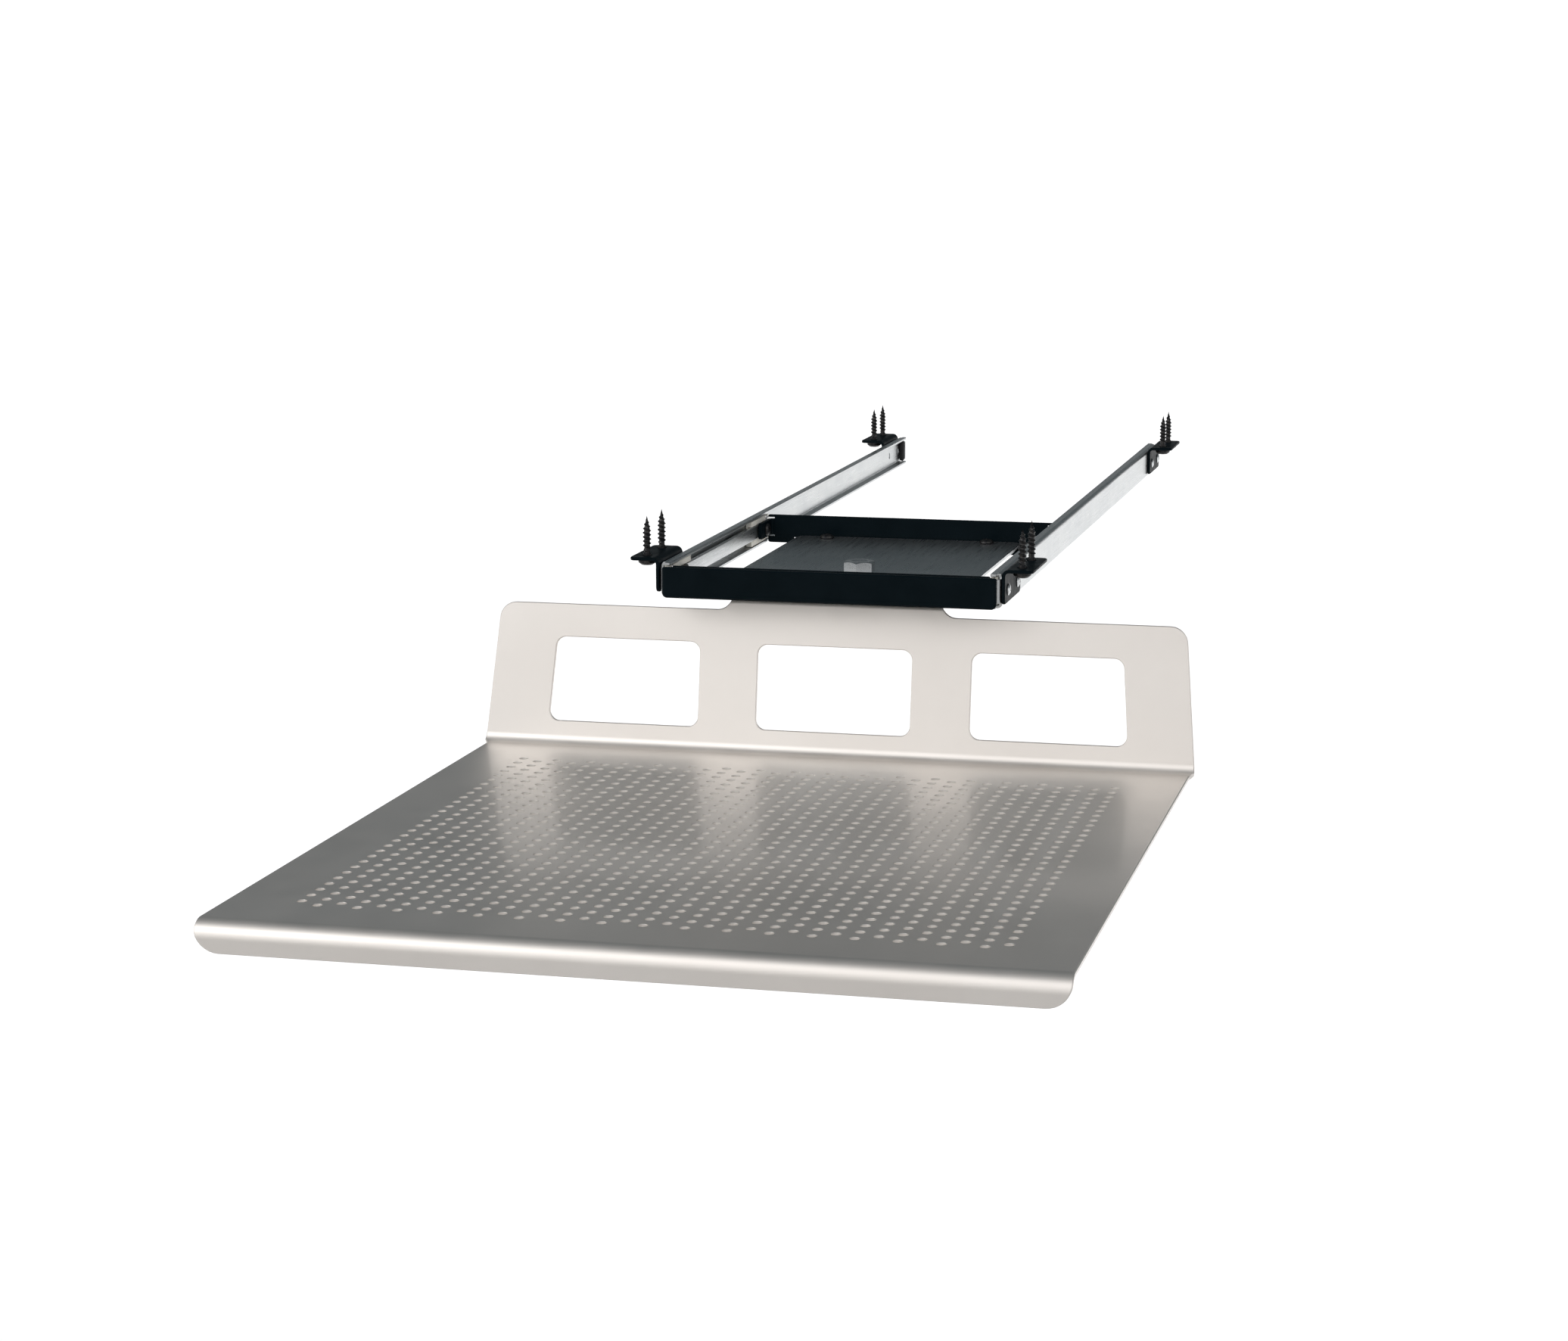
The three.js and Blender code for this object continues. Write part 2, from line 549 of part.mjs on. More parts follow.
function trackSolid() {
  const upperLipZ = TRACK_TOP_Z - TRACK_T;
  const lowerLipZ = TRACK_BOTTOM_Z + TRACK_T;
  const channel = join(
    solid(box(TRACK_WEB_IN, TRACK_WEB_OUT, 0, TRACK_LENGTH, TRACK_BOTTOM_Z, TRACK_TOP_Z)),
    solid(box(TRACK_LIP_X, TRACK_WEB_OUT, 0, TRACK_LENGTH, upperLipZ, TRACK_TOP_Z)),
    solid(box(TRACK_LIP_X, TRACK_WEB_OUT, 0, TRACK_LENGTH, TRACK_BOTTOM_Z, lowerLipZ)),
    solid(box(TRACK_STOP_X, TRACK_WEB_OUT, 0, TRACK_T, TRACK_BOTTOM_Z, TRACK_TOP_Z)),
    solid(box(TRACK_STOP_X, TRACK_WEB_OUT, trackEnd, TRACK_LENGTH, TRACK_BOTTOM_Z, TRACK_TOP_Z)),
  );
  const rivetHoles = Object.values(BRACKET_STARTS).flatMap(bracketScrewYs).map((y) => (
    solid(crosswise(TRACK_WEB_IN - CUT, TRACK_WEB_OUT + CUT, y, RIVET_Z, RIVET_HOLE_R))
  ));
  return cut(channel, ...rivetHoles);
}
placePair('track', trackSolid(), 'zinc');

const crossBar = box(-CROSS_BAR_HALF_W, CROSS_BAR_HALF_W, CROSS_BAR_FRONT_Y, -GAP, BAR_BOTTOM_Z, BAR_TOP_Z);
place('front_cross_bar', crossBar, 'black');

const bumper = box(
  TRACK_STOP_X + 0.2, TRACK_WEB_IN - GAP,
  trackEnd - GAP - BUMPER_T, trackEnd - GAP,
  BUMPER_BOTTOM_Z, BUMPER_TOP_Z,
);
placePair('rear_bumper', solid(bumper), 'rubber');

// ---------- brackets, rivets and wood screws ----------
function bracketSolid(y0) {
  const y1 = y0 + BRACKET_LENGTH;
  const legOut = BRACKET_IN + BRACKET_T;
  const section = rounded([
    [BRACKET_IN, BRACKET_BOTTOM_Z, 0],
    [legOut, BRACKET_BOTTOM_Z, 0],
    [legOut, -BRACKET_T, BRACKET_BEND - BRACKET_T],
    [BRACKET_OUT, -BRACKET_T, 0],
    [BRACKET_OUT, 0, 0],
    [BRACKET_IN, 0, BRACKET_BEND],
  ], 4);
  const holes = bracketScrewYs(y0).flatMap((y) => [
    solid(upright(SCREW_X, y, -BRACKET_T - CUT, CUT, SCREW_HOLE_R, 16)),
    solid(crosswise(BRACKET_IN - CUT, legOut + CUT, y, RIVET_Z, RIVET_HOLE_R)),
  ]);
  return cut(solid(alongY(section, y0, y1)), ...holes);
}

const woodScrew = () => turned([
  [0, SCREW_TIP_Z],
  [1.5, SCREW_TIP_Z - 5],
  [SCREW_SHANK_R, SCREW_TIP_Z - 8],
  [SCREW_SHANK_R, SCREW_SEAT_Z],
  [SCREW_HEAD_R, SCREW_SEAT_Z],
  [SCREW_HEAD_R, SCREW_SEAT_Z - 1.5],
  [3, SCREW_SEAT_Z - 2.7],
  [0, SCREW_SEAT_Z - 3.1],
], 16);

const rivetTail = -TRACK_T - BRACKET_T;
const rivet = () => turned([
  [0, 1.1],
  [1.7, 0.8],
  [RIVET_HEAD_R, 0],
  [RIVET_R, 0],
  [RIVET_R, rivetTail],
  [0, rivetTail],
], 12);

Object.entries(BRACKET_STARTS).forEach(([end, y0]) => {
  placePair(`bracket_${end}`, bracketSolid(y0), 'black');
  bracketScrewYs(y0).forEach((y, i) => {
    SIDES.forEach(([side, sign]) => {
      place(`wood_screw_${end}_${i + 1}_${side}`, woodScrew(), 'screw').position.set(sign * SCREW_X, y, 0);
      const pin = place(`rivet_${end}_${i + 1}_${side}`, rivet(), 'zinc');
      pin.rotation.y = sign * Math.PI / 2;
      pin.position.set(sign * (BRACKET_IN + BRACKET_T + 0.2), y, RIVET_Z);
    });
  });
});

export default drawer;
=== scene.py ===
"""Under desk drawer: a perforated satin-metal tray on a swivel, hung from a carriage in two tracks.

Metres, +X right, +Y back under the desk, +Z up, in the CAD frame. The desk isn't part of the object.
"""

import json
import math
import random

import bmesh
import bpy
from mathutils import Matrix, Vector
from mathutils.geometry import delaunay_2d_cdt


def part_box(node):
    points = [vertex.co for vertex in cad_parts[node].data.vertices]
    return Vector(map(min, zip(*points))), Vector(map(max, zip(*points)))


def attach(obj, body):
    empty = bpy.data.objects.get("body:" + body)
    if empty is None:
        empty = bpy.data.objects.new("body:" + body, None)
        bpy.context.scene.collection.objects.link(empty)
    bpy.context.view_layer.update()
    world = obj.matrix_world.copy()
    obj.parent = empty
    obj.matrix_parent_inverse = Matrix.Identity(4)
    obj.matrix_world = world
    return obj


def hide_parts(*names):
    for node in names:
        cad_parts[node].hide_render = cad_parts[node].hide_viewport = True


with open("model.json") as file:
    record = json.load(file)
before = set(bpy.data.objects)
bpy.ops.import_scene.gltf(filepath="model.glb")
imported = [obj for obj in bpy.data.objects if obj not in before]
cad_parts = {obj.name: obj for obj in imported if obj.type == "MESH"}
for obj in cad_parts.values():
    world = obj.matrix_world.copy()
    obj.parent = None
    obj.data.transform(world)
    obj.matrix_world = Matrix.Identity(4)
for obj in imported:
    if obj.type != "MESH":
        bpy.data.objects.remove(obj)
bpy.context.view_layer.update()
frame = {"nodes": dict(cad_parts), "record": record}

MM = 0.001
TINY = 1e-9
SIDES = (("right", 1), ("left", -1))
ENDS = ("front", "rear")
RNG = random.Random(7)


# ---------- camera ----------
CAMERA_AT = Vector((0.321, -1.3866, 0.2138))
CAMERA_AZIMUTH = math.radians(13.82)
CAMERA_ELEVATION = math.radians(10.41)
CAMERA_ROLL = math.radians(-0.106)
CAMERA_LENS = 74.98
SENSOR_WIDTH = 36.0
CLIP_NEAR = 0.01
CLIP_FAR = 50


def make_camera():
    """The photograph's view: from the front right, looking slightly down."""
    data = bpy.data.cameras.new("camera")
    data.lens = CAMERA_LENS
    data.sensor_width = SENSOR_WIDTH
    data.clip_start = CLIP_NEAR
    data.clip_end = CLIP_FAR
    camera = bpy.data.objects.new("camera", data)
    bpy.context.collection.objects.link(camera)
    level = math.cos(CAMERA_ELEVATION)
    back = Vector((
        math.sin(CAMERA_AZIMUTH) * level,
        -math.cos(CAMERA_AZIMUTH) * level,
        math.sin(CAMERA_ELEVATION),
    ))
    aim = (-back).to_track_quat("-Z", "Y")
    roll = Matrix.Rotation(CAMERA_ROLL, 4, "Z")
    camera.matrix_world = Matrix.Translation(CAMERA_AT) @ aim.to_matrix().to_4x4() @ roll
    bpy.context.scene.camera = camera


# ---------- node helpers ----------
RANGE_INPUTS = ("From Min", "From Max", "To Min", "To Max")
NOISE_MIDDLE = (0.3, 0.7)


class Weave:
    """Short-hand for adding nodes to one node tree."""

    def __init__(self, tree, place):
        self.nodes = tree.nodes
        self.links = tree.links
        self.place = self.nodes.new("ShaderNodeTexCoord").outputs[place]

    def stretch(self, scale):
        mapping = self.nodes.new("ShaderNodeMapping")
        mapping.inputs["Scale"].default_value = scale
        self.links.new(self.place, mapping.inputs["Vector"])
        return mapping.outputs["Vector"]

    def axes(self):
        split = self.nodes.new("ShaderNodeSeparateXYZ")
        self.links.new(self.place, split.inputs[0])
        return [split.outputs[axis] for axis in "XYZ"]

    def noise(self, scale, detail=3, roughness=0.55, vector=None):
        node = self.nodes.new("ShaderNodeTexNoise")
        node.inputs["Scale"].default_value = scale
        node.inputs["Detail"].default_value = detail
        node.inputs["Roughness"].default_value = roughness
        self.links.new(vector or self.place, node.inputs["Vector"])
        return node.outputs["Fac"]

    def spread(self, value, low, high, out_low, out_high, kind="LINEAR"):
        node = self.nodes.new("ShaderNodeMapRange")
        node.interpolation_type = kind
        for name, number in zip(RANGE_INPUTS, (low, high, out_low, out_high)):
            node.inputs[name].default_value = number
        self.links.new(value, node.inputs["Value"])
        return node.outputs["Result"]

    def vary(self, noise, low=0, high=1):
        """The noise's middle part, spread from low to high."""
        return self.spread(noise, *NOISE_MIDDLE, low, high)

    def blend(self, factor, first, second):
        """A mix of two colours, each a tuple or another node's output."""
        node = self.nodes.new("ShaderNodeMix")
        node.data_type = "RGBA"
        self.links.new(factor, node.inputs["Factor"])
        for name, color in (("A", first), ("B", second)):
            if isinstance(color, tuple):
                node.inputs[name].default_value = (*color, 1)
            else:
                self.links.new(color, node.inputs[name])
        return node.outputs["Result"]

    def times(self, a, b):
        node = self.nodes.new("ShaderNodeMath")
        node.operation = "MULTIPLY"
        self.links.new(a, node.inputs[0])
        self.links.new(b, node.inputs[1])
        return node.outputs[0]


class Look(Weave):
    """A material: its principled shader and the nodes that feed it."""

    def __init__(self, name, color, metallic, roughness, specular=0.5):
        self.material = bpy.data.materials.new(name)
        self.material.use_nodes = True
        super().__init__(self.material.node_tree, "Object")
        self.inputs = self.nodes["Principled BSDF"].inputs
        self.set("Base Color", (*color, 1))
        self.set("Metallic", metallic)
        self.set("Roughness", roughness)
        self.set("Specular IOR Level", specular)

    def set(self, name, value):
        self.inputs[name].default_value = value

    def feed(self, name, output):
        self.links.new(output, self.inputs[name])

    def bump(self, height, strength, distance):
        node = self.nodes.new("ShaderNodeBump")
        node.inputs["Strength"].default_value = strength
        node.inputs["Distance"].default_value = distance
        self.links.new(height, node.inputs["Height"])
        self.feed("Normal", node.outputs["Normal"])


# ---------- materials ----------
def satin_metal():
    """The tray: finely blasted steel with a warm cast under a thin clear lacquer."""
    look = Look("satin_steel_sheet", (0.785, 0.75, 0.71), 0.9, 0.46)
    look.set("Coat Weight", 0.22)
    look.set("Coat Roughness", 0.11)
    cloud = look.vary(look.noise(14, 4))
    look.feed("Base Color", look.blend(cloud, (0.77, 0.733, 0.692), (0.81, 0.775, 0.735)))
    look.feed("Roughness", look.vary(look.noise(55, 5, 0.6), 0.43, 0.49))
    look.bump(look.noise(2600, 2, 0.6), 0.2, 0.00003)
    return look.material


def black_coat():
    """Satin black coating with a cool tint and the faint orange peel of powder coat."""
    look = Look("black_steel", (0.0022, 0.0055, 0.0075), 0.0, 0.42, specular=0.04)
    cloud = look.vary(look.noise(60, 3))
    look.feed("Base Color", look.blend(cloud, (0.0016, 0.0045, 0.0062), (0.0028, 0.0065, 0.0088)))
    look.feed("Roughness", look.vary(look.noise(120, 3), 0.36, 0.48))
    look.bump(look.noise(900, 2), 0.2, 0.0001)
    return look.material


def zinc_plate():
    """Bright zinc: cool grey, drawn lines along the length and cloudy passivation."""
    look = Look("zinc_steel", (0.6, 0.62, 0.63), 1.0, 0.3)
    cloud = look.vary(look.noise(45, 4))
    look.feed("Base Color", look.blend(cloud, (0.55, 0.57, 0.58), (0.63, 0.645, 0.645)))
    drawn = look.noise(1500, 3, 0.6, look.stretch((1, 0.02, 1)))
    look.feed("Roughness", look.vary(drawn, 0.25, 0.35))
    look.bump(drawn, 0.08, 0.00003)
    return look.material


def black_oxide():
    """Screws: dark oxide with a slightly oily sheen that wears to brown-grey."""
    look = Look("screw_steel", (0.03, 0.031, 0.034), 0.85, 0.35)
    wear = look.spread(look.noise(700, 4, 0.65), 0.42, 0.75, 0, 1)
    look.feed("Base Color", look.blend(wear, (0.022, 0.023, 0.026), (0.085, 0.08, 0.075)))
    look.feed("Roughness", look.vary(look.noise(1500, 2), 0.28, 0.45))
    return look.material


def bearing_steel():
    look = Look("bearing_steel", (0.66, 0.66, 0.67), 1.0, 0.12)
    look.feed("Roughness", look.vary(look.noise(1800, 2), 0.08, 0.18))
    return look.material


def natural_nylon():
    look = Look("nylon", (0.76, 0.74, 0.66), 0.0, 0.5)
    look.set("Subsurface Weight", 0.15)
    look.set("Subsurface Radius", (0.002, 0.0016, 0.001))
    cloud = look.vary(look.noise(160, 3))
    look.feed("Base Color", look.blend(cloud, (0.73, 0.71, 0.63), (0.79, 0.77, 0.7)))
    look.bump(look.noise(1400, 2), 0.15, 0.00008)
    return look.material


def black_rubber():
    look = Look("bumper_rubber", (0.02, 0.02, 0.021), 0.0, 0.8, specular=0.3)
    look.bump(look.noise(1200, 4), 0.4, 0.0002)
    return look.material


MATERIALS = {
    "satin_steel_sheet": satin_metal(),
    "black_steel": black_coat(),
    "zinc_steel": zinc_plate(),
    "screw_steel": black_oxide(),
    "bearing_steel": bearing_steel(),
    "nylon": natural_nylon(),
    "bumper_rubber": black_rubber(),
}
SLOT_OF = {row["node"]: row["material_slot"] for row in frame["record"]["subparts"]}
BODY_OF = {
    node: body
    for body, nodes in frame["record"]["behaviour"]["bodies"].items()
    for node in nodes
}


# ---------- pieces and bodies ----------
def used_by(faces):
    return sorted({k for face in faces for k in face})


def mesh_from(name, verts, faces):
    """A closed mesh of the points that its faces use, with the faces turned outward."""
    used = used_by(faces)
    renumbered = {old: new for new, old in enumerate(used)}
    mesh = bpy.data.meshes.new(name)
    mesh.from_pydata([verts[k] for k in used], [], [[renumbered[k] for k in face] for face in faces])
    work = bmesh.new()
    work.from_mesh(mesh)
    bmesh.ops.recalc_face_normals(work, faces=work.faces)
    work.to_mesh(mesh)
    work.free()
    return mesh


def smooth(mesh, angle):
    for polygon in mesh.polygons:
        polygon.use_smooth = True
    mesh.set_sharp_from_angle(angle=math.radians(angle))


def add_piece(name, mesh, body, slot, smooth_angle=35):
    """A piece of the object that rides on a body and has the look of a material slot."""
    if not mesh.has_custom_normals:
        smooth(mesh, smooth_angle)
    mesh.materials.clear()
    mesh.materials.append(MATERIALS[slot])
    piece = bpy.data.objects.new(name, mesh)
    bpy.context.collection.objects.link(piece)
    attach(piece, body)
    return piece


def stand_for(node, mesh, smooth_angle=35):
    """A piece that takes the place of one CAD node."""
    piece = add_piece(node + "_detail", mesh, BODY_OF[node], SLOT_OF[node], smooth_angle)
    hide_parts(node)
    return piece


def moved(mesh, matrix, name):
    copy = mesh.copy()
    copy.name = name
    copy.transform(matrix)
    return copy


def middle_of(node):
    low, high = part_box(node)
    return (low + high) / 2


# ---------- outlines ----------
def arc(centre, radius, start, end, steps):
    """Points on an arc, both ends included; angles in degrees."""
    points = []
    for k in range(steps + 1):
        angle = math.radians(start + (end - start) * k / steps)
        points.append((centre[0] + radius * math.cos(angle), centre[1] + radius * math.sin(angle)))
    return points


def circle(centre, radius, sides):
    return arc(centre, radius, 0, 360, sides)[:-1]


def round_corners(corners, steps=6):
    """A closed outline from (x, y, radius) corners."""
    outline = []
    count = len(corners)
    for i, (x, y, radius) in enumerate(corners):
        here = Vector((x, y))
        if not radius:
            outline.append((x, y))
            continue
        before = (Vector(corners[i - 1][:2]) - here).normalized()
        after = (Vector(corners[(i + 1) % count][:2]) - here).normalized()
        half = before.angle(after) / 2
        centre = here + (before + after).normalized() * radius / math.sin(half)
        first = here + before * radius / math.tan(half) - centre
        last = here + after * radius / math.tan(half) - centre
        turn = math.atan2(first.x * last.y - first.y * last.x, first.dot(last))
        for k in range(steps + 1):
            outline.append(tuple(centre + Matrix.Rotation(turn * k / steps, 2) @ first))
    return outline


def mirrored(right):
    """The other half of an outline that is symmetrical about x = 0."""
    return [(-point[0], *point[1:]) for point in reversed(right)]


def rectangle(low, high, radius, steps, top_radius=None):
    """A rounded rectangle between two (x, y) corners; its upper corners can have their own radius."""
    top = radius if top_radius is None else top_radius
    return round_corners([
        (low[0], low[1], radius),
        (high[0], low[1], radius),
        (high[0], high[1], top),
        (low[0], high[1], top),
    ], steps)


def offset_loop(loop, distance):
    """The loop moved to its left by distance, each corner along its own bisector."""
    shifted = []
    count = len(loop)
    for i, (x, y) in enumerate(loop):
        here = Vector((x, y))
        before = (here - Vector(loop[i - 1])).normalized()
        after = (Vector(loop[(i + 1) % count]) - here).normalized()
        side = Vector((-(before.y + after.y), before.x + after.x)).normalized()
        reach = distance / max(0.5, side.dot(Vector((-after.y, after.x))))
        shifted.append(tuple(here + side * reach))
    return shifted


def inside(point, loop):
    x, y = point
    odd = False
    for i, (bx, by) in enumerate(loop):
        ax, ay = loop[i - 1]
        if (ay > y) != (by > y) and x < (bx - ax) * (y - ay) / (by - ay) + ax:
            odd = not odd
    return odd


# ---------- bent sheet metal ----------
class SheetPath:
    """A bent section: where a point some way along the flat sheet ends up in the plane of the section."""

    def __init__(self, start, heading, runs):
        self.parts = []
        y, z = start
        heading = math.radians(heading)
        at = 0.0
        for length, turn, radius in runs:
            curve = 0.0
            if turn:
                length = math.radians(abs(turn)) * radius
                curve = math.copysign(1 / radius, turn)
            self.parts.append((at, length, y, z, heading, curve))
            y, z, heading = self._step(y, z, heading, curve, length)
            at += length
        self.length = at

    @staticmethod
    def _step(y, z, heading, curve, length):
        if not curve:
            return y + length * math.cos(heading), z + length * math.sin(heading), heading
        after = heading + curve * length
        return (
            y + (math.sin(after) - math.sin(heading)) / curve,
            z - (math.cos(after) - math.cos(heading)) / curve,
            after,
        )

    def point(self, along, depth):
        """The place that far along the face, and depth to the right of it through the sheet."""
        part = next((p for p in self.parts if along <= p[0] + p[1] + TINY), self.parts[-1])
        at, _, y, z, heading, curve = part
        y, z, heading = self._step(y, z, heading, curve, along - at)
        return y + depth * math.sin(heading), z - depth * math.cos(heading)

    def rows(self, degrees=7.5):
        """Distances along the sheet at which its bends need a row of points."""
        found = []
        for at, length, _, _, _, curve in self.parts:
            if curve:
                count = max(2, round(math.degrees(length * abs(curve)) / degrees))
                found += [at + length * k / count for k in range(count + 1)]
        return found


SAME_POINT = 1e-7
EDGE_ANGLE = 30


def part_way(a, b, t):
    return a[0] + (b[0] - a[0]) * t, a[1] + (b[1] - a[1]) * t


def crossings(a, b, folds):
    """Fractions of the way from a to b at which that edge meets a fold line."""
    found = []
    for axis, value, low, high in folds:
        before = a[axis] - value
        after = b[axis] - value
        if before * after < 0 and min(abs(before), abs(after)) > SAME_POINT:
            t = before / (before - after)
            other = a[1 - axis] + (b[1 - axis] - a[1 - axis]) * t
            if low < other < high:
                found.append(t)
    return sorted(found)


def sheet_mesh(name, loops, folds, place, thickness):
    """Pierce a flat blank and fold it.

    loops: (points, edge break) for the outline and then each hole, the outline anticlockwise and the
    holes clockwise. folds: (axis, value, low, high), lines at which points are needed, axis 0 for a line
    of constant first coordinate. place(u, v, depth) puts a point of the blank in space.
    """
    rims = []
    flat_points = []
    flat_edges = []
    for loop, inset in loops:
        inner = offset_loop(loop, inset)
        rim = []
        count = len(loop)
        for k in range(count):
            n = (k + 1) % count
            rim.append((loop[k], inner[k]))
            for t in crossings(inner[k], inner[n], folds):
                rim.append((part_way(loop[k], loop[n], t), part_way(inner[k], inner[n], t)))
        first = len(flat_points)
        flat_points += [Vector(point) for _, point in rim]
        flat_edges += [(first + k, first + (k + 1) % len(rim)) for k in range(len(rim))]
        rims.append(([edge for edge, _ in rim], inset, first))
    for axis, value, low, high in folds:
        first = len(flat_points)
        ends = ((value, low), (value, high)) if axis == 0 else ((low, value), (high, value))
        flat_points += [Vector(end) for end in ends]
        flat_edges.append((first, first + 1))
    regions = [list(range(first, first + len(edge))) for edge, _, first in rims]
    regions[1:] = [region[::-1] for region in regions[1:]]
    points, _, faces, origins, _, owners = delaunay_2d_cdt(
        flat_points, flat_edges, regions, 0, SAME_POINT, True
    )
    kept = [face for face, owner in zip(faces, owners) if list(owner) == [0]]

    where = {old: new for new, olds in enumerate(origins) for old in olds}
    verts = [place(p.x, p.y, 0) for p in points] + [place(p.x, p.y, thickness) for p in points]
    below = len(points)
    polys = [tuple(face) for face in kept]
    polys += [tuple(below + k for k in reversed(face)) for face in kept]
    for edge, inset, first in rims:
        count = len(edge)
        top = [where[first + k] for k in range(count)]
        rings = [top]
        for depth in (inset, thickness - inset):
            rings.append(range(len(verts), len(verts) + count))
            verts += [place(u, v, depth) for u, v in edge]
        rings.append([below + k for k in top])
        for above, under in zip(rings, rings[1:]):
            for k in range(count):
                n = (k + 1) % count
                polys.append((above[k], under[k], under[n], above[n]))
    up = [(Vector(place(p.x, p.y, 0)) - Vector(place(p.x, p.y, thickness))).normalized() for p in points]
    facing = up + [-normal for normal in up]
    mesh = mesh_from(name, verts, polys)
    smooth(mesh, EDGE_ANGLE)
    shade_faces(mesh, 2 * len(kept), [facing[k] for k in used_by(polys) if k < len(facing)])
    return mesh


def shade_faces(mesh, count, facing):
    """Give the first count faces the exact normals of the bent sheet; the rest keep their angle."""
    normals = [Vector((0, 0, 0))] * len(mesh.loops)
    for polygon in mesh.polygons[:count]:
        for loop in polygon.loop_indices:
            normals[loop] = facing[mesh.loops[loop].vertex_index]
    mesh.normals_split_custom_set(normals)


def hole_loop(centre, radius, sides=24):
    """A round hole, clockwise, so that the metal is on its left."""
    return circle(centre, radius, sides)[::-1]


def folds_across(rows, low, high):
    return [(1, value, low, high) for value in rows]


# ---------- the tray ----------
SHEET = 2 * MM
LIP_RADIUS = 6.5 * MM
LIP_DROP = 12.2 * MM
LIP_TURN = 95
LIP_CORNER = 9.5 * MM
CREASE_RADIUS = 5 * MM
PANEL_LEAN = 8.5
FLANGE_BEND = 4.5 * MM
TRAY_HALF_W = 160.5 * MM
SHOULDER_HALF_W = 156.8 * MM
PANEL_CORNER = 8 * MM
NECK_HALF_W = 48 * MM
NECK_FILLET = 6.7 * MM
FLANGE_RADIUS = 54 * MM
CREASE_Y = 6 * MM
SHOULDER_Z = -24.6 * MM
PIVOT_HOLE = 4.3 * MM
WINDOW_LOW = 10.6 * MM
WINDOW_HIGH = 48.4 * MM
WINDOW_CORNER = 4.5 * MM
MID_WINDOW_HALF_W = 35.3 * MM
SIDE_WINDOW_IN = 62.3 * MM
SIDE_WINDOW_OUT_LOW = 132.6 * MM
SIDE_WINDOW_OUT_HIGH = 129.6 * MM

HOLE_PITCH = 9 * MM
HOLE_COLUMN = HOLE_PITCH * math.sqrt(3) / 2
HOLE_RADIUS = 1.9 * MM
HOLE_COLUMNS = 35
HOLES_IN_COLUMN = 30
HOLE_FIELD_Y = -162 * MM
HOLE_SIDES = 14
EDGE_BREAK = 0.35 * MM
FINE_EDGE_BREAK = 0.25 * MM
HOLE_BREAK = 0.2 * MM


def tray_path():
    """The section from the lip's lower edge over the shelf and up the panel into the flange."""
    low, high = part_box("tray")
    lean = math.radians(PANEL_LEAN)
    turn = math.radians(LIP_TURN)
    shelf_top = low.z + LIP_DROP
    shelf_start = low.y + LIP_RADIUS
    lip_straight = (LIP_DROP - LIP_RADIUS * (1 - math.cos(turn))) / math.sin(turn)
    lip_foot = shelf_start - LIP_RADIUS * math.sin(turn) - lip_straight * math.cos(turn)
    tangent = CREASE_RADIUS * math.tan((math.pi / 2 - lean) / 2)
    panel_top = high.z - FLANGE_BEND * (1 - math.sin(lean))
    rise = (panel_top - shelf_top) / math.cos(lean) - tangent
    flange_start = CREASE_Y + (panel_top - shelf_top) * math.tan(lean) + FLANGE_BEND * math.cos(lean)
    path = SheetPath((lip_foot, low.z), LIP_TURN, [
        (lip_straight, 0, 0),
        (0, -LIP_TURN, LIP_RADIUS),
        (CREASE_Y - tangent - shelf_start, 0, 0),
        (0, 90 - PANEL_LEAN, CREASE_RADIUS),
        (rise, 0, 0),
        (0, PANEL_LEAN - 90, FLANGE_BEND),
        (high.y - flange_start + MM, 0, 0),
    ])
    shelf_along = path.parts[2][0]
    panel_along = path.parts[4][0]
    panel_foot = shelf_top + tangent * math.cos(lean)
    flange_along = path.parts[6][0]
    return path, {
        "shelf": lambda y: shelf_along + y - shelf_start,
        "panel": lambda z: panel_along + (z - panel_foot) / math.cos(lean),
        "flange": lambda y: flange_along + y - flange_start,
        "crease": path.parts[3][0],
        "shelf_top": shelf_top,
        "pivot_y": high.y - FLANGE_RADIUS,
        "flange_start": flange_start,
    }


def tray_outline(at):
    pivot = at["flange"](at["pivot_y"])
    shoulder = at["panel"](SHOULDER_Z)
    past_bend = at["flange"](at["flange_start"] + MM)
    right = round_corners([
        (0, 0, 0),
        (TRAY_HALF_W, 0, LIP_CORNER),
        (TRAY_HALF_W, at["crease"] + 0.5 * MM, MM),
        (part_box("tray")[1].x, at["crease"] + 3 * MM, 1.5 * MM),
        (SHOULDER_HALF_W, shoulder, PANEL_CORNER),
        (NECK_HALF_W, shoulder, NECK_FILLET),
        (NECK_HALF_W, past_bend, MM),
        (FLANGE_RADIUS, past_bend, 1.5 * MM),
        (FLANGE_RADIUS, pivot, 0),
    ], 8)[1:-1]
    right += arc((0, pivot), FLANGE_RADIUS, 0, 90, 18)[:-1]
    return right + [(0, pivot + FLANGE_RADIUS)] + mirrored(right)


def window_outlines(at):
    low = at["panel"](at["shelf_top"] + WINDOW_LOW)
    high = at["panel"](at["shelf_top"] + WINDOW_HIGH)
    middle = rectangle((-MID_WINDOW_HALF_W, low), (MID_WINDOW_HALF_W, high), WINDOW_CORNER, 7)
    right = round_corners([
        (SIDE_WINDOW_IN, low, WINDOW_CORNER),
        (SIDE_WINDOW_OUT_LOW, low, WINDOW_CORNER),
        (SIDE_WINDOW_OUT_HIGH, high, WINDOW_CORNER),
        (SIDE_WINDOW_IN, high, WINDOW_CORNER),
    ], 7)
    return [loop[::-1] for loop in (middle, right, mirrored(right))]


